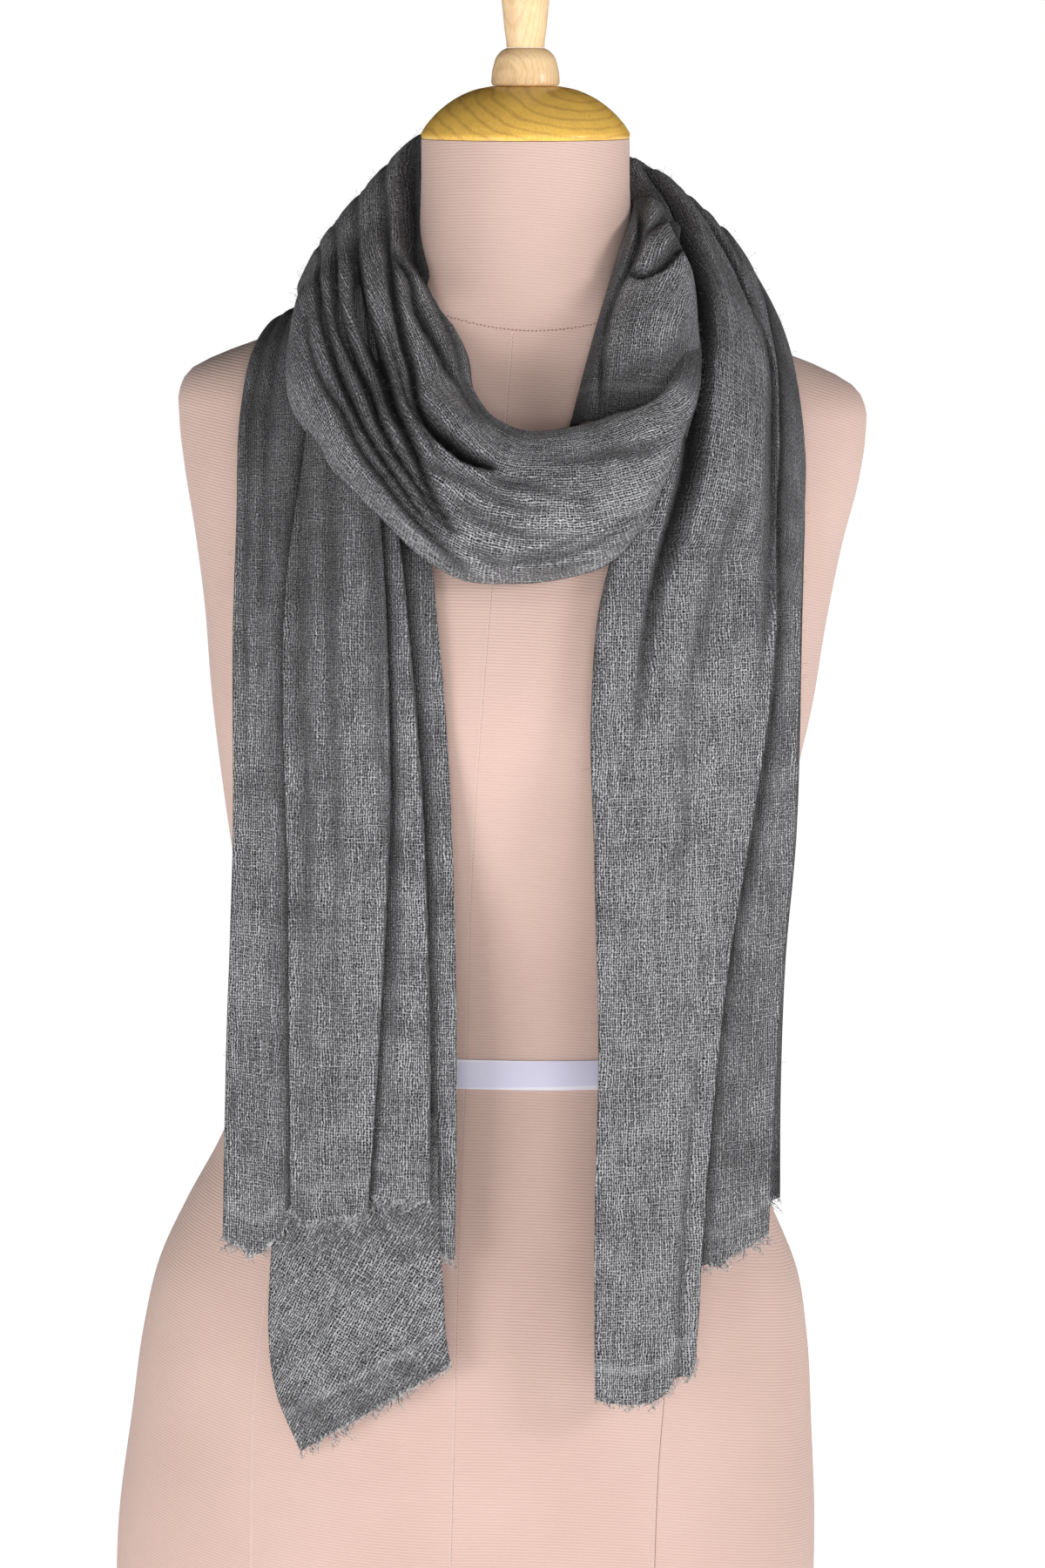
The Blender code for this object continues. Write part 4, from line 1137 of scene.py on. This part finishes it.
LEFT_FOLDS = (
    Fold(0, (0.42, 0.47, 0.335, 0.345, 0.37), 0.05),
    Fold(1, (0.76, 0.80, 0.82, 0.755, 0.70)),
    Fold(2, (0.60, 0.62, 0.62, 0.60, 0.58), -0.16),
    Fold(3, (0.85, 0.86, 0.90, 0.92, 0.93)),
    Fold(3, (0.34, 0.34, 0.34, 0.34, 0.34), 0.10),
    Fold(3, (0.20, 0.20, 0.20, 0.20, 0.20), 0.06),
    Fold(5, (0.0, 0.0, 0.0, 0.0, 0.0)),
    Fold(5, (1.0, 1.0, 1.0, 1.0, 1.0)),
)
LEFT_HEM = ((0.0, 249.0), (0.12, 244.5), (0.30, 243.5), (0.50, 246.5), (0.80, 248.0), (1.0, 251.0),
            (2.0, 256.0), (2.36, 258.0), (2.55, 255.0), (2.75, 257.5), (3.0, 255.5), (4.0, 250.0),
            (4.25, 236.0), (4.5, 232.0), (5.0, 224.5), (5.3, 223.5), (5.6, 227.5), (6.0, 229.5),
            (6.9, 228.0), (7.0, 226.0))

# The low corner between the left end's layers: left x and z, right x and z
CORNER = ((-88, 300, -14, 300), (-94, 240, -13, 245), (-97, 188, -11, 206), (-93, 155, -10, 188),
          (-80, 126, -8, 173))
CORNER_LAYER = 4
CORNER_SLANT = math.radians(-28.0)
FOLD_SOFTNESS = 2                             # over how many points on either side a fold is rounded
LAYER_PITCH_TOP, LAYER_PITCH_HEM = 1.8, 2.7
WALL = 0.8
FIRST_ROW = 0.5                               # how far along a course its first row of points lies
SPREAD = (-70.0, 60.0)                        # where the bunch opens into flat layers, from the crest
LAYERS_OPEN = (0.2, 0.6)                      # the parts of an end's length between which its layers part
FIBRE, FRINGE_THREAD = 0.055, 0.20            # radii
FRINGE_TAPER = 0.5                            # the end's radius against the root's
HEM_SIDE = (0.955, -0.296, 0.0)


@dataclass(frozen=True)
class Stretch:
    """What there is to say of one stretch of cloth."""

    name: str
    flat: tuple[float, float]        # width and length of what shows, laid flat, in metres
    fibres: int                      # how many loose fibres stand off it
    rests_on: tuple[str, ...]
    nodes: tuple[str, ...]           # the frame's nodes that it stands for
    fringe: tuple[str, ...] = ()     # and those that its fringe stands for


WOUND = Stretch("shawl_wound", (0.21, 1.19), 3000, ("torso", "shawl_left"),
                ("shawl_front_cowl", "shawl_outer_wrap", "shawl_right_end"), ("shawl_right_end_fringe",))
INNER = Stretch("shawl_inner", (0.075, 0.40), 400, ("torso",), ("shawl_inner_wrap",))
LEFT = Stretch("shawl_left", (0.32, 0.53), 1500, ("torso",), ("shawl_left_end",),
               ("shawl_left_end_fringe",))
LOW_CORNER = Stretch("shawl_corner", (0.085, 0.16), 300, ("shawl_left",), ("shawl_left_corner",),
                     ("shawl_left_corner_fringe",))


class Shawl:
    """The whole shawl, in the stretches that show."""

    SEED = 11
    # Least and most, in millimetres
    LOCK_WIDTH = (1.5, 6.0)
    LOCK_REACH = (3.8, 7.4)
    CURL = (0.6, 2.2)
    ROOT_ABOVE_HEM = (0.6, 2.2)
    THREAD_SPACING = (0.25, 0.85)
    FIBRE_LENGTH = (1.2, 4.0)
    # Least and most, as parts or in radians
    THREAD_PART = (0.45, 1.15)
    CURL_TURN = (3.0, 8.0)
    LOCK_LEAN, LOCK_PHASE = 0.5, 0.7              # how widely the leans and the turns vary
    LEAN_GROWS, CURL_GROWS = 1.6, 0.7             # powers of the way along a thread
    CURL_DEPTH = 0.8                              # a thread's curl towards the front, against sideways
    BEHIND_HEM = 0.5                              # in millimetres
    # A loose fibre's drift, bend and rise as parts of its length, its arc in radians, its root
    FIBRE_DRIFT, FIBRE_BEND, FIBRE_RISE, FIBRE_ARC, FIBRE_ROOT = 0.5, 0.3, 0.45, 3.1, 0.2
    FRINGE_POINTS, FIBRE_POINTS = 9, 6            # along one thread

    def __init__(self) -> None:
        self.gauze = WoolFinish().build()
        self.slant_gauze = SLANT_WOOL.build()
        self.yarn = YarnFinish().build()
        self.fibre = YarnFinish("wool_fibre", light=(0.24, 0.24, 0.245, 1.0)).build()
        self.random = np.random.default_rng(self.SEED)

    def build(self) -> None:
        """Make every stretch and its fringe."""
        self.wound(rows=345, columns=138)
        self.inner(rows=170, columns=90)
        self.left(rows=200, columns=220)
        self.corner(rows=60, columns=50)

    def sheet(self, stretch: Stretch, gauze: bpy.types.Material, points: np.ndarray, plane: np.ndarray,
              dark: np.ndarray) -> None:
        """One stretch of cloth with its thickness, its loose fibres and the fringe below it.

        Args:
            stretch: What there is to say of it.
            gauze: Its material.
            points: Rows of points in millimetres; the last row is the hem if there is one.
            plane: The cloth's own lengths at each point.
            dark: How much darker the cloth is at each point: mostly painted shade.
        """
        name = stretch.name
        thing = grid_mesh(name, points, plane, dark)
        wall = thing.modifiers.new("wall", "SOLIDIFY")
        wall.thickness = WALL * MM
        wall.offset = 0.0
        adopt(thing, gauze, Slot.WOOL, *stretch.nodes)
        fuzz = strands(name + "_fuzz", self.fuzz(points, stretch.fibres), FIBRE)
        pieces = [adopt(fuzz, self.fibre, Slot.WOOL)]
        if stretch.fringe:
            threads = strands(name + "_fringe", self.fringe(points[-1]), FRINGE_THREAD, FRINGE_TAPER)
            pieces.append(adopt(threads, self.yarn, Slot.WOOL, *stretch.fringe))
        LOG.info("%s: %d x %d points", name, *points.shape[:2])

    def between(self, least_and_most: tuple[float, float]) -> float:
        """One random draw between two limits."""
        return self.random.uniform(*least_and_most)

    def fringe(self, hem: np.ndarray) -> list[np.ndarray]:
        """Fine curly threads in loose locks along a hem."""
        way = lengths(hem)
        part = np.linspace(0, 1, self.FRINGE_POINTS)
        paths = []
        lock_end, lean, reach, twist = -1.0, 0.0, 0.0, 0.0
        at = 0.0
        while at < way[-1]:
            if at > lock_end:
                lock_end = at + self.between(self.LOCK_WIDTH)
                lean = self.random.normal(0, self.LOCK_LEAN)
                reach = self.between(self.LOCK_REACH)
                twist = self.between((0, 2 * np.pi))
            root = np.array([np.interp(at, way, hem[:, axis]) for axis in range(3)])
            length = reach * self.between(self.THREAD_PART)
            phase = twist + self.random.normal(0, self.LOCK_PHASE)
            curl = self.between(self.CURL)
            turns = self.between(self.CURL_TURN)
            coil = curl * part ** self.CURL_GROWS
            sway = lean * length * part ** self.LEAN_GROWS + coil * np.sin(phase + part * turns)
            out = self.CURL_DEPTH * coil * np.cos(phase + part * turns) - self.BEHIND_HEM
            path = root + np.outer(sway, HEM_SIDE) + np.outer(out, (0, 1, 0))
            path[:, 2] += self.between(self.ROOT_ABOVE_HEM) - length * part
            paths.append(path)
            at += self.between(self.THREAD_SPACING)
        return paths

    def fuzz(self, points: np.ndarray, count: int) -> list[np.ndarray]:
        """Loose fibres that stand off the cloth."""
        rows, columns = points.shape[:2]
        row = self.random.integers(1, rows - 1, count)
        column = self.random.integers(1, columns - 1, count)
        down = points[row + 1, column] - points[row - 1, column]
        over = points[row, column + 1] - points[row, column - 1]
        normal = np.cross(down, over)
        normal /= np.linalg.norm(normal, axis=1)[:, None] + 1e-9
        part = np.linspace(0, 1, self.FIBRE_POINTS)[:, None]
        paths = []
        for start, out in zip(points[row, column], normal):
            length = self.between(self.FIBRE_LENGTH)
            drift = self.random.normal(0, self.FIBRE_DRIFT, 3) * length
            bend = self.random.normal(0, self.FIBRE_BEND, 3) * length
            stand = out * (self.FIBRE_ROOT + length * self.FIBRE_RISE * part)
            paths.append(start + stand + drift * part + bend * np.sin(part * self.FIBRE_ARC))
        return paths

    @staticmethod
    def layered(lines: np.ndarray, layers: Sequence[int], pitch: float, width: float,
                columns: int) -> tuple[np.ndarray, np.ndarray, np.ndarray]:
        """One line across a folded end, evenly spaced along the cloth.

        Args:
            lines: Where the edges and folds lie, as parts of the way across.
            layers: The layer of each run, from the front.
            pitch: From layer to layer.
            width: The end's width here.
            columns: How many points.

        Returns:
            The part across, the inset in millimetres, and the place among the lines, at each point.
        """
        across, inset, mark = [], [], []
        for run in range(len(lines) - 1):
            for step, line in enumerate((lines[run], lines[run + 1])):
                across.append(line * width)
                inset.append(layers[run] * pitch)
                mark.append(run + step)
        across, inset = np.array(across), np.array(inset)
        steps = np.hypot(np.diff(across), np.diff(inset))
        way = np.concatenate([[0.0], np.cumsum(np.maximum(steps, 1e-6))])
        even = np.linspace(0, way[-1], columns)
        found = np.stack([np.interp(even, way, item) for item in (across, inset, np.array(mark, float))])
        window = np.ones(2 * FOLD_SOFTNESS + 1) / (2 * FOLD_SOFTNESS + 1)
        for item in found[:2]:
            item[FOLD_SOFTNESS:-FOLD_SOFTNESS] = np.convolve(item, window, mode="valid")
        return found[0] / width, found[1], found[2]

    def layered_rows(self, course: Course, along: np.ndarray, folds: Sequence[Fold],
                     hems: Sequence[tuple[float, float]], columns: int) -> tuple[np.ndarray, ...]:
        """The folded section of a hanging end.

        Args:
            course: The end's course.
            along: How far along it each row lies.
            folds: Its edges and folds.
            hems: The hem's height at places among the folds.
            columns: How many points across the opened cloth.

        Returns:
            At each point the part across, the inset, the hem's height (one row), how much darker it is,
            with painted shadow beside the layers' edges, and the place among the folds.
        """
        down = (along - along[0]) / (along[-1] - along[0])
        lines = through(FOLD_PLACES, np.array([fold.across for fold in folds]).T, down)
        pitches = np.interp(down, LAYERS_OPEN, (LAYER_PITCH_TOP, LAYER_PITCH_HEM))
        layers = [fold.layer for fold in folds]
        rows = [self.layered(line, layers, pitch, width, columns)
                for line, pitch, width in zip(lines, pitches, course.width(along))]
        across, inset, mark = (np.array(item) for item in zip(*rows))
        hem = np.interp(mark[-1], *zip(*hems))
        dark = np.array([fold.dark for fold in folds])[np.minimum(mark, len(folds) - 1).astype(int)]
        sideways = course.points(along, across, inset)[:, :, 0]
        # Painted shadow on the cloth behind each layer's edge: sharp beside it and soft farther off.
        for run, line in enumerate(lines.T):
            front = min(layers[max(run - 1, 0):run + 1])
            edge = course.points(along, line[:, None], front * pitches[:, None])[:, :, 0]
            off = np.abs(sideways - edge)
            behind = inset > (front + 0.5) * pitches[:, None]
            shadow = EDGE_SHADOW * np.exp(-off / EDGE_REACH) + SHADOW_DARK * np.exp(-off / SHADOW_REACH)
            dark = np.where(behind, np.maximum(dark, dark * 0.5 + shadow), dark)
        return across, inset, hem, dark, np.minimum(mark, len(folds) - 1.001)

    def left(self, rows: int, columns: int) -> None:
        """The left end, from its crest to its hem."""
        keys = LEFT_END.keys()
        along = np.linspace(2 * FIRST_ROW, keys[-1], rows)
        folded = self.layered_rows(LEFT_END, along, LEFT_FOLDS, LEFT_HEM, columns)
        across, inset, hem, beside, marks = folded
        points, smooth = (course.points(along, across, inset) for course in (LEFT_END, LEFT_END.smooth()))
        for item in (points, smooth):
            self.plumb(item, along, hem, keys[-1] / 2)
        dark = self.darkness(LEFT_END, along, across, LEFT_SHADE, beside)
        plane = cloth_plane(smooth, along, keys[LEFT_HANGS], marks)
        self.sheet(LEFT, self.gauze, points, plane, dark)

    @staticmethod
    def darkness(course: Course, along: np.ndarray, across: np.ndarray, table: Sequence[Sequence[float]],
                 beside: np.ndarray | float = 0.0) -> np.ndarray:
        """How much darker the cloth is: painted shade where it is bunched, in grooves and beside the
        layers' edges.
        """
        keys = course.keys()
        rows = np.array(table, float)
        # bunched: the painted shade of the station table.
        bunched = np.interp(np.interp(along, keys, np.arange(len(keys))), rows[:, 0], rows[:, 1])[:, None]
        pressed = np.clip(course.pressed(along, across, shaded=True) / CREASE_DEPTH, 0, 1)
        return 1 - (1 - bunched) * (1 - pressed ** CREASE_FALL * CREASE_SHADE) * (1 - beside)

    @staticmethod
    def plumb(points: np.ndarray, along: np.ndarray, hem: np.ndarray, start: float) -> None:
        """Let the part below start hang straight to its hem's heights."""
        settle = np.clip((along - start) / (along[-1] - start), 0, 1)[:, None]
        points[:, :, 2] += settle * (hem - points[-1, :, 2])

    def wound(self, rows: int, columns: int) -> None:
        """The loop, the outer pass and the right end in one sheet."""
        keys = LOOP.keys()
        along = np.linspace(FIRST_ROW, keys[-1], rows)
        crest = keys[RIGHT_SHOULDER]
        hanging = along >= crest
        folded = self.layered_rows(LOOP, along[hanging], RIGHT_FOLDS, RIGHT_HEM, columns)
        spread = smoothstep(crest + SPREAD[0], crest + SPREAD[1], along)[:, None]
        plain_rows = (~hanging).sum()
        layered_across, layered_inset, hem, beside, marks = (
            np.concatenate([np.tile(item[0], (plain_rows, 1)), item]) if item.ndim == 2 else item
            for item in folded)
        bunched = np.tile(np.linspace(0, 1, columns), (rows, 1))
        across = bunched + (layered_across - bunched) * spread
        points, smooth = (course.points(along, across, layered_inset * spread, rolled=1 - spread[:, 0])
                          for course in (LOOP, LOOP.smooth()))
        for item in (points, smooth):
            self.plumb(item, along, hem, (crest + keys[-1]) / 2)
        dark = self.darkness(LOOP, along, across, LOOP_SHADE, beside * spread)
        station = np.interp(along, keys, np.arange(len(keys)))
        (points, dark), (smooth, _) = (self.tucked(item, dark, station) for item in (points, smooth))
        marks = np.pad(marks, ((0, 0), (TUCK_COLUMNS, 0)))
        plane = cloth_plane(smooth, along, keys[LOOP_HANGS], marks)
        self.sheet(WOUND, self.gauze, points, plane, dark)

    @staticmethod
    def tucked(points: np.ndarray, dark: np.ndarray, station: np.ndarray) -> tuple[np.ndarray, np.ndarray]:
        """Turn the upper edge under along the loop, with painted shade where it turns under."""
        table = np.array(LOOP_TUCK)
        reach = np.stack([np.interp(station, table[:, 0], table[:, axis]) for axis in (1, 2, 3)], axis=1)
        part = np.linspace(1, 0, TUCK_COLUMNS, endpoint=False)[None, :, None]
        turned = points[:, :1] + reach[:, None] * part
        # Painted shade on the part that turns under.
        under = np.clip(dark[:, :1] + TUCK_SHADE * part[0, :, 0], 0, TUCK_SHADE_MOST)
        return np.concatenate([turned, points], axis=1), np.concatenate([under, dark], axis=1)

    def inner(self, rows: int, columns: int) -> None:
        """The inner pass and the pouch."""
        keys = INNER_PASS.keys()
        along = np.linspace(FIRST_ROW, keys[-1], rows)
        across = np.tile(np.linspace(0, 1, columns), (rows, 1))
        points, smooth = (course.points(along, across, np.zeros_like(across))
                          for course in (INNER_PASS, INNER_PASS.smooth()))
        plane = cloth_plane(smooth, along, keys[-1])
        dark = self.darkness(INNER_PASS, along, across, INNER_SHADE)
        self.sheet(INNER, self.gauze, points, plane, dark)

    def corner(self, rows: int, columns: int) -> None:
        """The low corner, whose weave runs on the slant."""
        table = np.array(CORNER, float)
        outline = through(np.linspace(0, 1, len(table)), table, np.linspace(0, 1, rows))
        part = np.linspace(0, 1, columns)
        x = outline[:, 0:1] + (outline[:, 2:3] - outline[:, 0:1]) * part
        z = outline[:, 1:2] + (outline[:, 3:4] - outline[:, 1:2]) * part
        hem = LEFT_END.rows[-1]
        foot = np.full(rows, LEFT_END.keys()[-1])
        across = (x - hem[0]) / (hem[3] - hem[0])
        points = LEFT_END.points(foot, across, np.full_like(x, CORNER_LAYER * LAYER_PITCH_HEM))
        points[:, :, 2] = z
        cosine, sine = math.cos(CORNER_SLANT), math.sin(CORNER_SLANT)
        plane = np.stack([x * cosine + z * sine, z * cosine - x * sine], axis=2)
        plane[:, :, 1] -= plane[-1, :, 1].mean()
        # Painted shadow under the layers' hems at the top, from CORNER_DARK; the patches are fuller and
        # thinner cloth.
        dark = np.tile(np.interp(np.linspace(0, 1, rows), *zip(*CORNER_DARK))[:, None], (1, columns))
        for at_x, at_z, reach, much in CORNER_PATCHES:
            dark = dark + much * np.exp(-((x - at_x) ** 2 + (z - at_z) ** 2) / reach ** 2)
        self.sheet(LOW_CORNER, self.slant_gauze, points, plane, dark)


# ---------------------------------------------------------------------------------------------
# The studio
# ---------------------------------------------------------------------------------------------

def aimed(name: str, data: bpy.types.ID, place: Sequence[float],
          target: Sequence[float]) -> bpy.types.Object:
    """A light or a camera at one place that faces another."""
    holder = new_object(name, data)
    holder.location = place
    holder.rotation_euler = (Vector(target) - Vector(place)).to_track_quat("-Z", "Y").to_euler()
    return holder


@dataclass(frozen=True)
class Softbox:
    """A square area light that faces a point."""

    name: str
    place: tuple[float, float, float]
    target: tuple[float, float, float]
    size: float
    watts: float

    def build(self) -> None:
        """Add the light."""
        light = bpy.data.lights.new(self.name, "AREA")
        light.size = self.size
        light.energy = self.watts
        aimed(self.name, light, self.place, self.target)


class Studio:
    """A plain pale floor, soft light and the camera."""

    CAMERA_PLACE = (0.031, -2.300, 0.670)
    CAMERA_AIM = (0.031, 0.0, 0.450)
    LENS = 102.7
    SENSOR = 36.0
    LIGHTS = (
        Softbox("key", (1.60, -0.90, 0.90), (0.03, 0.0, 0.70), 0.5, 12.8),
        Softbox("high_key", (0.70, -2.10, 1.30), (0.03, 0.0, 0.76), 0.8, 2.5),
        Softbox("top", (0.30, -0.80, 1.35), (0.03, 0.0, 0.80), 0.25, 1.2),
        Softbox("side_fill", (-0.85, -1.20, 0.25), (-0.05, 0.0, 0.20), 0.6, 7.4),
        Softbox("low_fill", (-0.10, -2.35, 0.42), (0.0, 0.0, 0.40), 0.6, 7.4),
    )
    FLOOR_HALF = 14.0
    GLOW = 1.0                       # how strongly the floor and the backdrop show white by themselves
    AMBIENT = 0.012                  # how strongly the backdrop lights the form
    WHITE: Colour = (1.0, 1.0, 1.0, 1.0)
    PALE: Colour = (0.90, 0.90, 0.90, 1.0)

    def build(self) -> None:
        """Set up the studio."""
        scene = bpy.context.scene
        scene.view_settings.view_transform = "Standard"
        scene.world = self.surround()
        self.floor()
        for light in self.LIGHTS:
            light.build()
        camera = bpy.data.cameras.new("camera")
        camera.lens = self.LENS
        camera.sensor_width = self.SENSOR
        scene.camera = aimed("camera", camera, self.CAMERA_PLACE, self.CAMERA_AIM)

    def surround(self) -> bpy.types.World:
        """A white surround that is seen but hardly lights the form."""
        world = bpy.data.worlds.new("studio")
        world.use_nodes = True
        graph = NodeTree(world.node_tree)
        seen = graph.node("ShaderNodeLightPath").outputs["Is Camera Ray"]
        glow = graph.node("ShaderNodeMapRange",
                          {"Value": seen, "To Min": self.AMBIENT, "To Max": self.GLOW})
        sky = world.node_tree.nodes["Background"]
        graph.feed(sky, "Color", self.WHITE)
        graph.feed(sky, "Strength", glow.outputs[0])
        return world

    def floor(self) -> None:
        """A plain pale floor."""
        bm = bmesh.new()
        bmesh.ops.create_grid(bm, x_segments=1, y_segments=1, size=self.FLOOR_HALF)
        floor = mesh_object("floor", bm)
        paint = Graph("floor", Base_Color=self.PALE, Roughness=0.9, Emission_Color=self.WHITE,
                      Emission_Strength=self.GLOW)
        floor.data.materials.append(paint.finish())


def main() -> None:
    """Build the form, the shawl and the studio round the frame."""
    logging.basicConfig(level=logging.INFO)
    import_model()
    DressForm().build()
    Shawl().build()
    Studio().build()


if __name__ == "__main__":
    main()
